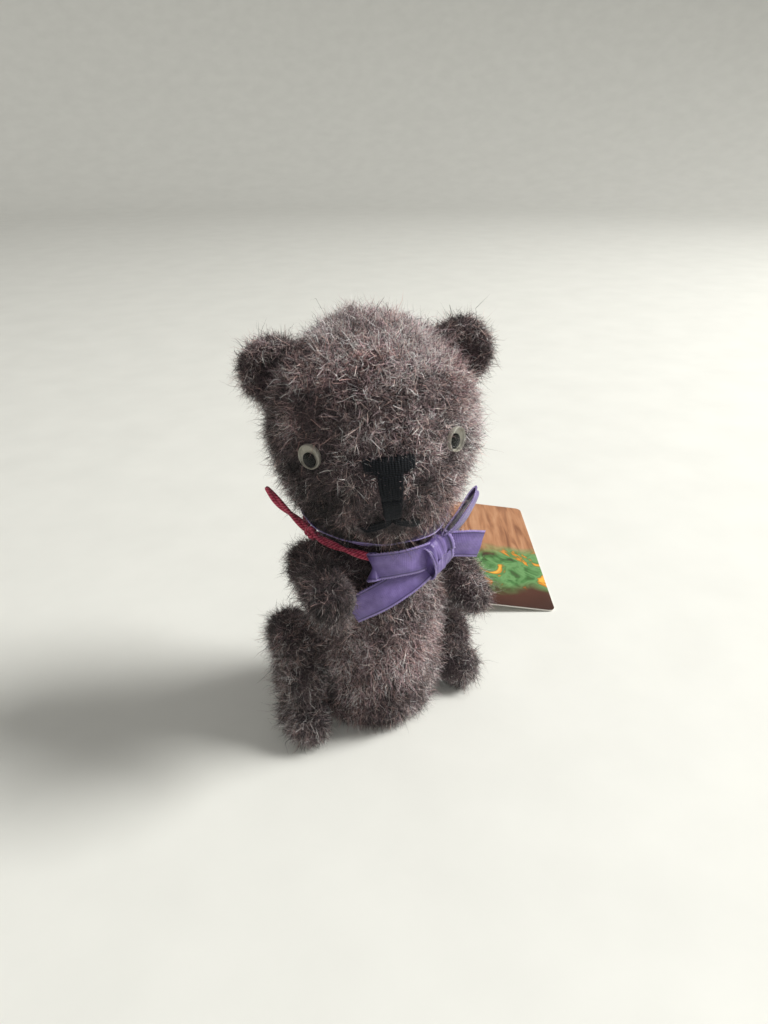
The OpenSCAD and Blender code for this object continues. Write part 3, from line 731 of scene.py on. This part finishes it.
def makeEye(name):
    place = eyeFrame(name)
    r, wall, high, plate = eye["radius"], eye["wall"], eye["cupHeight"], eye["plate"]
    soft = 0.08 * mm
    cup = [(0, 0), (r - 2 * soft, 0), (r - 0.6 * soft, 0.6 * soft), (r, 2 * soft),
           (r, high - 2 * soft), (r - 0.5 * soft, high - 0.5 * soft), (r - 1.5 * soft, high),
           (r - wall, high - 0.5 * soft), (r - wall, plate + soft), (r - wall - soft, plate),
           (0, plate)]
    addPiece(name + "EyeCup", spinOutline(cup, place), shadedWhiteLook, "head",
             [name + "_eye_cup"])
    baseR = r - 0.05 * mm
    domeR = (baseR ** 2 + eye["domeHeight"] ** 2) / (2 * eye["domeHeight"])
    centreZ = high + eye["domeHeight"] - domeR

    def arc(radius, low, steps=12):
        start = sqrt(radius ** 2 - (low - centreZ) ** 2)
        angles = np.linspace(atan2(start, low - centreZ), 0, steps)
        return [(radius * sin(a), centreZ + radius * cos(a)) for a in angles]

    outer, innerArc = arc(domeR, high), arc(domeR - 0.2 * mm, high)
    dome = [(max(0, x), z) for x, z in innerArc[::-1]] + [(max(0, x), z) for x, z in outer]
    addPiece(name + "EyeDome", spinOutline(dome, place), domeLook, "head",
             [name + "_eye_dome"])
    pr, pt = eye["pupilRadius"], eye["pupilThickness"]
    turn = place.to_3x3().to_4x4()
    pupilPlace = Matrix.Translation(middle(name + "_pupil")) @ turn
    disc = [(0, -pt / 2), (pr - soft, -pt / 2), (pr, -pt / 2 + soft), (pr, pt / 2 - soft),
            (pr - 0.4 * soft, pt / 2 - 0.4 * soft), (pr - soft, pt / 2), (0, pt / 2)]
    addPiece(name + "Pupil", spinOutline(disc, pupilPlace), pupilLook, name + "_pupil",
             [name + "_pupil"])


for side in ("left", "right"):
    makeEye(side)
print("eyes made")


# stitched nose and mouth
stitch = {
    "radius": 0.42 * mm, "pitch": 0.62 * mm, "rise": 0.3 * mm,
    "top": 0.9, "bar": 3.0, "half": 4.8, "stemHalf": 2.1, "stemEnd": -12.0,
    "mouthHalf": 6.6, "mouthEnd": -14.9, "mouthRow": 0.62,
}


def bvhOf(*pieces):
    verts, faces = [], []
    for piece in pieces:
        first = len(verts)
        verts += [piece.matrix_world @ v.co for v in piece.data.vertices]
        faces += [[first + i for i in p.vertices] for p in piece.data.polygons]
    return BVHTree.FromPolygons(verts, faces)


headTree = bvhOf(headPlush)


def onFace(x, z, proud):
    # a point on the front of the head, in millimetres across and up the face
    start = faceFrame @ (Vector((x, -40, z)) * mm)
    aim = (faceFrame.to_3x3() @ Vector((0, 1, 0))).normalized()
    hit, normal, _, _ = headTree.ray_cast(start, aim)
    return hit + normal * proud


def laidThread(bm, start, end, random):
    # one stitch: it comes out of the cloth, lies over it and goes back in
    steps = 10
    route = []
    for i in range(steps + 1):
        t = i / steps
        proud = stitch["rise"] * min(1, 5 * t, 5 * (1 - t)) - 0.35 * mm * (i in (0, steps))
        wander = random.normal(0, 0.05)
        route.append(onFace(start[0] + (end[0] - start[0]) * t + wander,
                            start[1] + (end[1] - start[1]) * t, proud))
    addTube(bm, route, lambda v: stitch["radius"], 7)


def makeNose():
    random = np.random.default_rng(11)
    bm = bmesh.new()
    half, top, bar = stitch["half"], stitch["top"], stitch["bar"]
    x = -half + 0.3
    while x < half:
        inward = 0.85 * (1 - abs(x) / half)
        low = top - bar * (0.72 + 0.5 * (1 - abs(x) / half)) - random.uniform(0, 0.3)
        laidThread(bm, (x, top + inward * 0.3 + random.uniform(-0.2, 0.2)), (x * 0.94, low),
                   random)
        x += stitch["pitch"] / mm * 0.92
    x = -stitch["stemHalf"] + 0.2
    while x < stitch["stemHalf"]:
        for high, low, first, last in ((top - 2.2, -7.4, 1.05, 0.85),
                                       (-6.9, stitch["stemEnd"], 0.85, 0.6)):
            laidThread(bm, (x * first, high + random.uniform(-0.3, 0.3)),
                       (x * last, low + random.uniform(-0.3, 0.3)), random)
        x += stitch["pitch"] / mm * 0.9
    return addPiece("noseStitches", bm, threadLook, "head",
                    ["nose_stitching"])


def makeMouth():
    random = np.random.default_rng(12)
    bm = bmesh.new()
    for side in (-1, 1):
        for row in range(3):
            drop = row * stitch["mouthRow"]
            laidThread(bm, (side * 0.1, stitch["stemEnd"] + 0.4 - drop),
                       (side * (stitch["mouthHalf"] - row * 0.5),
                        stitch["mouthEnd"] + 0.4 - drop * 0.8), random)
    return addPiece("mouthStitches", bm, threadLook, "head",
                    ["mouth_stitching"])


noseStitches, mouthStitches = makeNose(), makeMouth()
print("nose and mouth stitched")


# ribbon
ribbon = {
    "width": 6 * mm, "thickness": 0.25 * mm, "bowRadius": 16.5, "bowAngle": 24,
    "bowHeight": 46.8, "knotDepth": 3.6, "knotHalf": 4.1, "collarRadius": 13.5,
    "collarHeight": 52.4, "collarRise": 1.4, "collarLean": 60, "layer": 0.9, "columns": 18,
    "step": 0.175 * mm,
    "picotPitch": 0.62 * mm, "picotOut": 0.13 * mm,
}


def aroundNeck(radius, angle, height):
    return Vector((radius * sin(radians(angle)), -radius * cos(radians(angle)), height)) * mm


def makeBand(name, node, route, widthwise, closed=False, width=None, ripple=0.3, seed=0,
             crown=0.12, folds=2.5):
    # a ribbon along a route: its width lies along widthwise(v), and its edges are looped
    width = width or ribbon["width"]
    count = len(route)
    length = routeLength(route)
    frames = []
    for i in range(count):
        after = route[(i + 1) % count] if closed else route[min(i + 1, count - 1)]
        before = route[i - 1] if closed or i else route[0]
        tangent = (after - before).normalized()
        wide = widthwise(i / (count - 1))
        wide = (wide - tangent * wide.dot(tangent)).normalized()
        frames.append((route[i], wide, tangent.cross(wide)))

    def place(u, v):
        centre, wide, deep = frames[round(v * (count - 1))]
        out = (u - 0.5) * width
        if u in (0, 1):
            out += (1 if u else -1) * ribbon["picotOut"] \
                * (1 + cos(2 * pi * v * round(length / ribbon["picotPitch"])))
        fall = -crown * mm * (2 * u - 1) ** 2
        wave = ripple * mm * noise.noise(Vector((u * folds, v * length / mm * 0.22, seed)))
        return centre + wide * out + deep * (fall + wave)

    bm = bmesh.new()
    wrapGrid(bm, ribbon["columns"], count - 1, place, "ribbonUV", uvScale=(1.0, length / mm))
    bmesh.ops.remove_doubles(bm, verts=bm.verts, dist=1e-6)
    piece = addPiece(name, bm, satinLook, "torso", [node])
    solid = piece.modifiers.new("cloth", "SOLIDIFY")
    solid.thickness = ribbon["thickness"]
    solid.offset = 0
    return applyModifiers(piece)


def loopRoute(out):
    return [out((1 - cos(radians(t))) / 2, sin(radians(t))) for t in range(25, 336, 5)]


def makeRibbon():
    radius, angle, height = ribbon["bowRadius"], ribbon["bowAngle"], ribbon["bowHeight"]
    layer, step, lean = ribbon["layer"], ribbon["step"], radians(ribbon["collarLean"])

    def collarAt(turn):
        near = max(0, cos(radians(turn - angle)))
        out = radius - ribbon["collarRadius"] - ribbon["knotDepth"] / 2 - 0.4
        return aroundNeck(ribbon["collarRadius"] + out * near ** 8, turn,
                          ribbon["collarHeight"] - ribbon["collarRise"] * cos(radians(turn)))

    rightLoop = loopRoute(lambda u, s: aroundNeck(
        radius + layer * s, 14 - 44 * u, height + 0.8 + layer * s))
    leftLoop = loopRoute(lambda u, s: aroundNeck(
        radius + 0.5 + 5.5 * u + layer * s, 34 + 22 * u, height + 2.4 + 9 * u))
    rightTail = [aroundNeck(radius - 0.5 + 2.2 * u, 12 - 56.5 * u,
                            height - 1.6 - 5 * u - 2.7 * u * u) for u in np.linspace(0, 1, 11)]
    leftTail = [aroundNeck(radius + 0.7 + 7 * u, 33 + 18 * u, height + 1.2 - 2 * u * u)
                for u in np.linspace(0, 1, 9)]
    pieces = [
        makeBand("neckRibbon", "neck_ribbon", [collarAt(a) for a in np.linspace(0, 360, 241)],
                 lambda v: aroundNeck(sin(lean), 360 * v, cos(lean)), True),
        makeBand("rightBowLoop", "right_bow_loop", smoothRoute(rightLoop, step),
                 lambda v: up, ripple=0.35, seed=2),
        makeBand("leftBowLoop", "left_bow_loop", smoothRoute(leftLoop, step),
                 lambda v: Vector((-0.6, -0.6, 0.6)), ripple=0.35, seed=5),
        makeBand("rightBowTail", "right_bow_tail", smoothRoute(rightTail, step),
                 lambda v: Vector((0.43, -0.43, -0.78)), seed=7),
        makeBand("leftBowTail", "left_bow_tail", smoothRoute(leftTail, step),
                 lambda v: up, seed=9)]

    # the knot is a short turn of the same ribbon round the loops
    place = Matrix.Translation(middle("bow_knot")) @ turnBy(angle, "Z") @ turnBy(-15, "Y")
    count = 120
    knotRoute = []
    for i in range(count + 1):
        t = 2 * pi * i / count
        high = ribbon["knotHalf"] * (abs(sin(t)) ** 0.8) * (1 if sin(t) > 0 else -1)
        deep = -ribbon["knotDepth"] / 2 * (abs(cos(t)) ** 0.8) * (1 if cos(t) > 0 else -1)
        knotRoute.append(place @ (Vector((0, deep, high)) * mm))
    across = (place.to_3x3() @ Vector((1, 0, 0))).normalized()
    pieces.append(makeBand("bowKnot", "bow_knot", knotRoute, lambda v: across, True,
                           7.0 * mm, 0.8, 4, 0.5, 5.5))
    return pieces


ribbons = makeRibbon()
print("ribbon tied")


# pile
pile = {
    "perMm2": 22, "width": 0.09 * mm, "root": 0.25 * mm, "underShare": 0.4, "underLength": 0.6,
    "strayShare": 0.003, "strayLength": 1.4, "clearance": 4.5 * mm, "lowest": 0.05 * mm,
    "charcoal": np.array(tone(38, 33, 37)[:3]), "mauve": np.array(tone(132, 116, 119)[:3]),
    "taupe": np.array(tone(168, 149, 144)[:3]), "blush": np.array(tone(216, 184, 176)[:3]),
    "silver": np.array(tone(238, 233, 228)[:3]),
}
eyePlaces = [Vector(joints[s + "_pupil_roll"]["pos_m"]) for s in ("left", "right")]
quickShare = 1.0


def meshArrays(mesh):
    mesh.calc_loop_triangles()
    co = np.empty(len(mesh.vertices) * 3)
    mesh.vertices.foreach_get("co", co)
    no = np.empty(len(mesh.vertices) * 3)
    mesh.vertices.foreach_get("normal", no)
    tri = np.empty(len(mesh.loop_triangles) * 3, np.int32)
    mesh.loop_triangles.foreach_get("vertices", tri)
    return co.reshape(-1, 3), no.reshape(-1, 3), tri.reshape(-1, 3)


def unitRows(a):
    return a / np.maximum(np.linalg.norm(a, axis=1, keepdims=True), 1e-9)


def growPile(base, body, names, field, length, seed, density=1.0, obstacles=(),
             lift=0.6, loose=0.75, curl=0.75):
    # grows tapered, bent fibres all over a skin. field(place, normal) gives, for each point of
    # the skin, how much pile stays, how long it is, how light it is (its own tone with painted
    # light and shade) and how it is brushed.
    random = np.random.default_rng(seed)
    co, no, tri = meshArrays(base.data)
    fields = [field(Vector(c), Vector(n)) for c, n in zip(co, no)]
    keep = np.array([f[0] for f in fields])
    long = np.array([f[1] for f in fields])
    light = np.array([f[2] for f in fields])
    pink = np.array([f[3] for f in fields])
    brush = np.array([tuple(f[4]) for f in fields])
    a, b, c = co[tri[:, 0]], co[tri[:, 1]], co[tri[:, 2]]
    area = np.linalg.norm(np.cross(b - a, c - a), axis=1) / 2
    count = int(area.sum() / mm ** 2 * pile["perMm2"] * density * quickShare)
    pick = random.choice(len(tri), count, p=area / area.sum())
    u, v = random.random(count), random.random(count)
    flip = u + v > 1
    u[flip], v[flip] = 1 - u[flip], 1 - v[flip]
    weights = np.stack([1 - u - v, u, v], 1)

    def spread(values):
        picked = values[tri[pick]]
        return (picked * (weights if values.ndim == 1 else weights[:, :, None])).sum(1)

    roots, normals = spread(co), unitRows(spread(no))
    stay = random.random(count) < spread(keep)
    roots, normals = roots[stay], normals[stay]
    longs, lights, pinks, brushes = (spread(x)[stay] for x in (long, light, pink, brush))
    n = len(roots)
    # fibres lean together in locks a millimetre or two wide
    waves = np.sin(roots @ random.normal(0, 2.2, (3, 6)) * 1000 + random.uniform(0, 6, 6))
    # each lock is also made lighter or darker as a whole: a painted highlight and shade shared by
    # its fibres
    tuft, lockHighlight = unitRows(waves[:, :3]), waves[:, 3:].mean(1)
    aim = unitRows(normals * lift + brushes * 0.5 + tuft * 0.5 + random.normal(0, loose, (n, 3)))
    below = (aim * normals).sum(1) < 0.15
    aim[below] = unitRows(aim[below] + normals[below] * 0.7)
    size = length * longs * np.clip(random.lognormal(0, 0.22, n), 0.4, 1.35)
    under = random.random(n) < pile["underShare"]
    size[under] *= pile["underLength"]
    size[random.random(n) < pile["strayShare"]] *= pile["strayLength"]
    bend = random.normal(0, curl, (n, 3)) + np.array([0, 0, -0.12]) + brushes * 0.3

    # a fibre stops short of what lies over it
    for tree, low, high in obstacles:
        near = np.all((roots > low - pile["clearance"]) & (roots < high + pile["clearance"]),
                      axis=1)
        for i in np.nonzero(near)[0]:
            hit = tree.ray_cast(Vector(roots[i] - normals[i] * 0.1 * mm), Vector(aim[i]),
                                size[i] * 1.15)
            if hit[0] is not None:
                size[i] = max(0.2 * mm, hit[3] * 0.75)
                bend[i] *= 0.3

    kinks = random.normal(0, 0.18, (4, n, 3)) * np.array([0, 1, 1.3, 0.6])[:, None, None]
    spine = [roots - normals * pile["root"] + aim * (size * s)[:, None]
             + (bend * s * s * 0.8 + kink) * size[:, None]
             for s, kink in zip((0, 0.36, 0.7, 1.0), kinks)]
    sideways = unitRows(np.cross(aim, random.normal(0, 1, (n, 3))))
    width = pile["width"] * random.uniform(0.6, 1.35, n)
    rows = []
    for i, share in enumerate((0.5, 0.5, 0.32)):
        reach = sideways * (width * share)[:, None]
        rows += [spine[i] - reach, spine[i] + reach]
    rows.append(spine[3])
    verts = np.stack(rows, 1)
    verts[:, :, 2] = np.maximum(verts[:, :, 2], pile["lowest"])

    # colours: dark, mauve and pale fibres mixed, each with painted shade towards its root and a
    # painted highlight at its tip
    choice = random.random(n)
    # more pale fibres where the skin's lightness is high and more dark ones where it is low; that
    # lightness holds painted light and shade
    dark = np.clip(0.46 - 0.38 * lights, 0.12, 0.75)
    pale = np.clip(0.06 + 0.4 * lights, 0.03, 0.5)
    shade = np.where((choice < dark)[:, None], pile["charcoal"],
                     np.where((choice < dark + 0.34)[:, None], pile["mauve"], pile["taupe"]))
    paleTone = np.where((random.random(n) < 0.25 + 0.6 * pinks)[:, None],
                        pile["blush"], pile["silver"])
    shade = np.where((choice > 1 - pale)[:, None], paleTone, shade)
    warm = np.stack([1 + 0.22 * pinks, 1 - 0.02 * pinks, np.ones(n)], 1)
    # each fibre is scaled by the skin's lightness: its own mottled tone plus the painted light
    # and shade that the fields give
    shade = shade * warm * (0.55 + 3.0 * lights)[:, None] * (1 + 0.5 * lockHighlight)[:, None] \
        * random.lognormal(0, 0.2, n)[:, None]
    # painted shade: the underfur is darkened, as it lies under the longer fibres
    shade[under] *= 0.45
    # painted shade at the root of each fibre, painted highlight at its tip
    rootShadeTipHighlight = np.array([0.2, 0.2, 0.62, 0.62, 1.0, 1.0, 1.35])
    colours = np.ones((n, 7, 4))
    colours[:, :, :3] = np.clip(shade[:, None, :] * rootShadeTipHighlight[None, :, None], 0, 1)

    order = np.argsort(roots[:, 2])
    for name, chosen in zip(names, np.array_split(order, len(names))):
        chosen = chosen[np.argsort(shade[chosen].sum(1))]
        fibreMesh(name, verts[chosen], colours[chosen], body)


def fibreMesh(name, verts, colours, body):
    # a fibre is two quads and a pointed end: 7 vertices, 3 faces and 11 face corners
    n = len(verts)
    mesh = bpy.data.meshes.new(name)
    mesh.vertices.add(n * 7)
    mesh.vertices.foreach_set("co", verts.astype(np.float32).ravel())
    blade = np.array([0, 1, 3, 2, 2, 3, 5, 4, 4, 5, 6])
    loops = (np.arange(n)[:, None] * 7 + blade[None, :]).ravel()
    mesh.loops.add(n * 11)
    mesh.loops.foreach_set("vertex_index", loops.astype(np.int32))
    mesh.polygons.add(n * 3)
    starts = (np.arange(n)[:, None] * 11 + np.array([0, 4, 8])[None, :]).ravel()
    mesh.polygons.foreach_set("loop_start", starts.astype(np.int32))
    mesh.update(calc_edges=True)
    shade = mesh.color_attributes.new("pileShade", "FLOAT_COLOR", "POINT")
    shade.data.foreach_set("color", colours.astype(np.float32).ravel())
    # each fibre has a cell of its own in the OFBake map, beside others of its shade
    side = int(np.ceil(np.sqrt(n)))
    cell = np.stack([np.arange(n) % side, np.arange(n) // side], 1)
    inside = np.array([[0.2, 0.12], [0.8, 0.12], [0.2, 0.38], [0.8, 0.38], [0.25, 0.64],
                       [0.75, 0.64], [0.5, 0.9]])
    uv = ((cell[:, None, :] + inside[None]) / side)[:, blade]
    mesh.uv_layers.new(name="OFBake").uv.foreach_set("vector", uv.astype(np.float32).ravel())
    addPiece(name, mesh, pileLook, body)


def asObstacle(*pieces):
    corners = np.array([tuple(v.co) for p in pieces for v in p.data.vertices])
    return bvhOf(*pieces), corners.min(0), corners.max(0)


def patchy(place, scale, seed):
    return 0.5 + 0.5 * noise.noise(place * scale + Vector((seed, seed * 0.7, -seed)))


def mottled(light, place, *layers):
    # adds layers of noise to a tone, each with its depth, scale and seed
    for depth, scale, seed in layers:
        light += depth * (patchy(place, scale, seed) - 0.5)
    return light


def onSurface(direction, normal):
    return direction - normal * direction.dot(normal)


def headField(place, normal):
    face = faceBack @ place / mm       # in millimetres from the head's centre
    keep, long = 1.0, 1.0
    light = mottled(0.36, place, (0.85, 150, 3), (0.8, 380, 9))
    # painted light: the bear's left side, which faces the lamp, is made lighter
    light += 0.012 * face.x
    pink = max(0, 1.5 * patchy(place, 75, 21) - 0.45)
    brush = onSurface(Vector((0, 0, -0.25)), normal)
    # painted light on the top of the head; the pile there is also brushed upwards
    if face.z > 10:
        light += 0.3 * min(1, (face.z - 10) / 5)
        brush = onSurface(Vector((0, 0, 0.1)), normal)
    if face.y < -4:
        out = sqrt((face.x * 0.8) ** 2 + (face.z + 6.5) ** 2)
        light -= 0.34 * max(0, 1 - out / 10)       # darker round the nose
        # painted shade under the muzzle and on the chin
        if face.z < -10:
            light -= 0.16
    top, half, stemEnd = stitch["top"], stitch["half"], stitch["stemEnd"]
    noseLow = top - stitch["bar"]
    across = abs(face.x)
    inNose = across < half * 0.96 and noseLow < face.z < top + 0.2
    inStem = across < stitch["stemHalf"] and stemEnd < face.z < noseLow + 0.1
    mouthHalf, mouthEnd = stitch["mouthHalf"], stitch["mouthEnd"]
    rise = (across / mouthHalf) * (mouthEnd - stemEnd)
    inMouth = across < mouthHalf and stemEnd + rise - 1.3 < face.z < stemEnd + rise + 0.6
    besideMouth = abs(face.z - stemEnd - rise + 0.4)
    if face.y < 0 and across < mouthHalf + 1.5 and besideMouth < 4.5:
        long = min(long, 0.3 + 0.14 * besideMouth)
    elif face.y < 0 and across < half + 1.5 and stemEnd < face.z < top + 2:
        long = min(long, 0.5)
    elif face.y < 0 and face.z < mouthEnd:
        long = 1.45
    if face.y < 0 and (inNose or inStem or inMouth):
        keep, long = 0.05, 0.5
    for centre in eyePlaces:
        away = place - centre
        near = away.length / mm
        if near < 6:
            brush = brush + onSurface(away.normalized(), normal) * (0.8 * (1 - near / 6))
            light -= 0.16 * (1 - near / 6)
            long = min(long, 0.25 + 0.75 * near / 6)
        if near < 2.4:
            keep = 0
    if place.z < 55 * mm:
        keep = 0.3 if place.z < 54 * mm else keep
        long *= 0.5
    return keep, long, light, pink, brush


def torsoField(place, normal):
    light = mottled(0.34, place, (0.85, 140, 13), (0.8, 360, 2))
    pink = max(0, 1.3 * patchy(place, 70, 5) - 0.5)
    front = max(0, -normal.y)
    belly = max(0, 1 - (place - Vector((0, -15, 22)) * mm).length / (15 * mm)) * front
    light += 0.3 * belly
    pink += 0.7 * belly
    # painted shade: the chest under the head is made darker
    if place.z > 38 * mm:
        light -= 0.2 * min(1, (place.z - 38 * mm) / (6 * mm))
    keep, long = 1.0, 1.0
    for name in limbJoints:
        joint = Vector(joints[name]["pos_m"])
        if joint.x * place.x > 0:
            reach = sqrt((place.y - joint.y) ** 2 + (place.z - joint.z) ** 2) / mm
            if reach < 5.2:
                keep = 0
            elif reach < 7.5:
                long = min(long, 0.45)
    if place.z > 52 * mm:
        keep = 0
    elif place.z > 46 * mm:
        long = 0.6
    if place.z < 1.5 * mm:
        long, keep = 0.3, 0.5
    return keep, long, light, pink, onSurface(Vector((0, -0.1, -0.45)), normal)


def earField(side):
    back = earFrame(side).inverted()

    def field(place, normal):
        local = back @ place / mm
        inner = local.y < 0 and sqrt(local.x ** 2 + local.z ** 2) < 4.2
        light = mottled(0.2, place, (0.6, 260, 8)) - (0.2 if inner else 0)
        radial = Vector((local.x, 0, local.z)).normalized()
        brush = onSurface((earFrame(side).to_3x3() @ radial) * 0.6, normal)
        return 1.0, 0.55 if inner else 1.0, light, 0.25, brush
    return field


def limbField(name, kind, baseLightWithShade):
    at = Vector(joints[name + ("_shoulder" if kind == "arm" else "_hip")]["pos_m"])
    side = 1 if at.x > 0 else -1

    def field(place, normal):
        light = mottled(baseLightWithShade, place, (0.5, 170, 17), (0.5, 400, 4))
        pink = max(0, 1.2 * patchy(place, 90, 31) - 0.5)
        keep, long = 1.0, 1.0
        if normal.x * side < -0.35:
            long = 0.32                           # the side against the body is pressed flat
        if abs(place.x) < abs(at.x) + 0.7 * mm:
            keep = 0
        if place.z < 1.2 * mm:
            long = min(long, 0.35)
        return keep, long, light, pink, onSurface(Vector((0, -0.25, -0.4)), normal)
    return field


dress = asObstacle(*ribbons, neckYarn, tagYarn, neckKnot)
bodyParts = asObstacle(torsoPlush)
limbParts = asObstacle(*arms.values(), *legs.values())
headParts = asObstacle(headPlush)
eyeParts = asObstacle(*[bpy.data.objects[s + k] for s in ("left", "right")
                        for k in ("EyeCup", "EyeDome")])
growPile(headPlush, "head",
         ["headPileChin", "headPileMuzzle", "headPileBrow", "headPileCrown"],
         headField, 2.0 * mm, 41, 1.0, [dress, bodyParts, eyeParts])
growPile(torsoPlush, "torso", ["torsoPileLow", "torsoPileBelly", "torsoPileHigh"],
         torsoField, 1.9 * mm, 42, 0.95, [dress, limbParts, headParts])
for side, sign in (("left", 1), ("right", -1)):
    growPile(ears[side], "head", [side + "EarPile"], earField(sign),
             1.8 * mm, 43 + sign, 1.4, [], lift=0.55)
    # the right arm is given painted shade: its base lightness is much lower than the left arm's
    growPile(arms[side], side + "_arm", [side + "ArmPile"],
             limbField(side, "arm", 0.06 if side == "right" else 0.26), 1.9 * mm,
             47 + sign, 1.15, [dress, bodyParts, headParts])
    growPile(legs[side], side + "_leg", [side + "LegPile"],
             limbField(side, "leg", 0.22), 1.9 * mm, 53 + sign, 1.0, [bodyParts])
print("pile grown")


# card and hidden hardware
tag = {"corner": Vector((64.4, 5.4, 0)) * mm, "turn": 60}
tagBack = Matrix.Rotation(radians(-tag["turn"]), 4, "Z")
nodes["tag_card"].data.materials.clear()
nodes["tag_card"].data.materials.append(
    cardMaterial(radians(-tag["turn"]), tuple(-(tagBack @ tag["corner"]))))
for name, node in nodes.items():
    if name.endswith("_disc"):
        look = hardboardLook
    elif name.endswith("_washer") or name.endswith("_pin"):
        look = steelLook
    else:
        continue
    node.data.materials.clear()
    node.data.materials.append(look)
print("card and joints finished")


# room
room = {
    "reach": 2.3, "flat": 1.2, "rise": 1.1, "steps": 96,
    "fill": (1.0, 0.965, 0.94, 1), "fillPower": 0.27,
}

bm = bmesh.new()
bmesh.ops.create_grid(bm, x_segments=room["steps"], y_segments=room["steps"],
                      size=room["reach"])
for vert in bm.verts:
    # the paper lies flat round the bear and curves up far behind it
    past = max(0, vert.co.to_2d().length - room["flat"]) / (room["reach"] - room["flat"])
    vert.co.z = room["rise"] * past ** 2
floorMesh = meshFrom("floor", bm)
floorMesh.materials.append(speckledMaterial("paleTable", 0.55, 0.3, 40.0, 5.0, (
    (0.3, 231, 232, 226), (0.7, 236, 237, 231))))
floorMesh.shade_smooth()
floor = addObject("floor", floorMesh)


def addLight(name, place, target, size, power, colour):
    data = bpy.data.lights.new(name, "AREA")
    data.shape = "DISK"
    data.size = size
    data.energy = power
    data.color = colour
    light = addObject(name, data)
    light.location = place
    light.rotation_euler = (Vector(target) - Vector(place)).to_track_quat("-Z", "Y").to_euler()


addLight("windowLight", (0.92, -0.4, 0.95), (0, 0, 0.04), 0.55, 22, (1.0, 0.985, 0.96))
addLight("roomLight", (-0.35, -0.55, 0.5), (0, 0, 0.05), 0.5, 0.6, (0.97, 0.98, 1.0))
world = bpy.data.worlds.new("softRoom")
world.use_nodes = True
background = world.node_tree.nodes["Background"]
background.inputs["Color"].default_value = room["fill"]
background.inputs["Strength"].default_value = room["fillPower"]
bpy.context.scene.world = world
print("room lit")
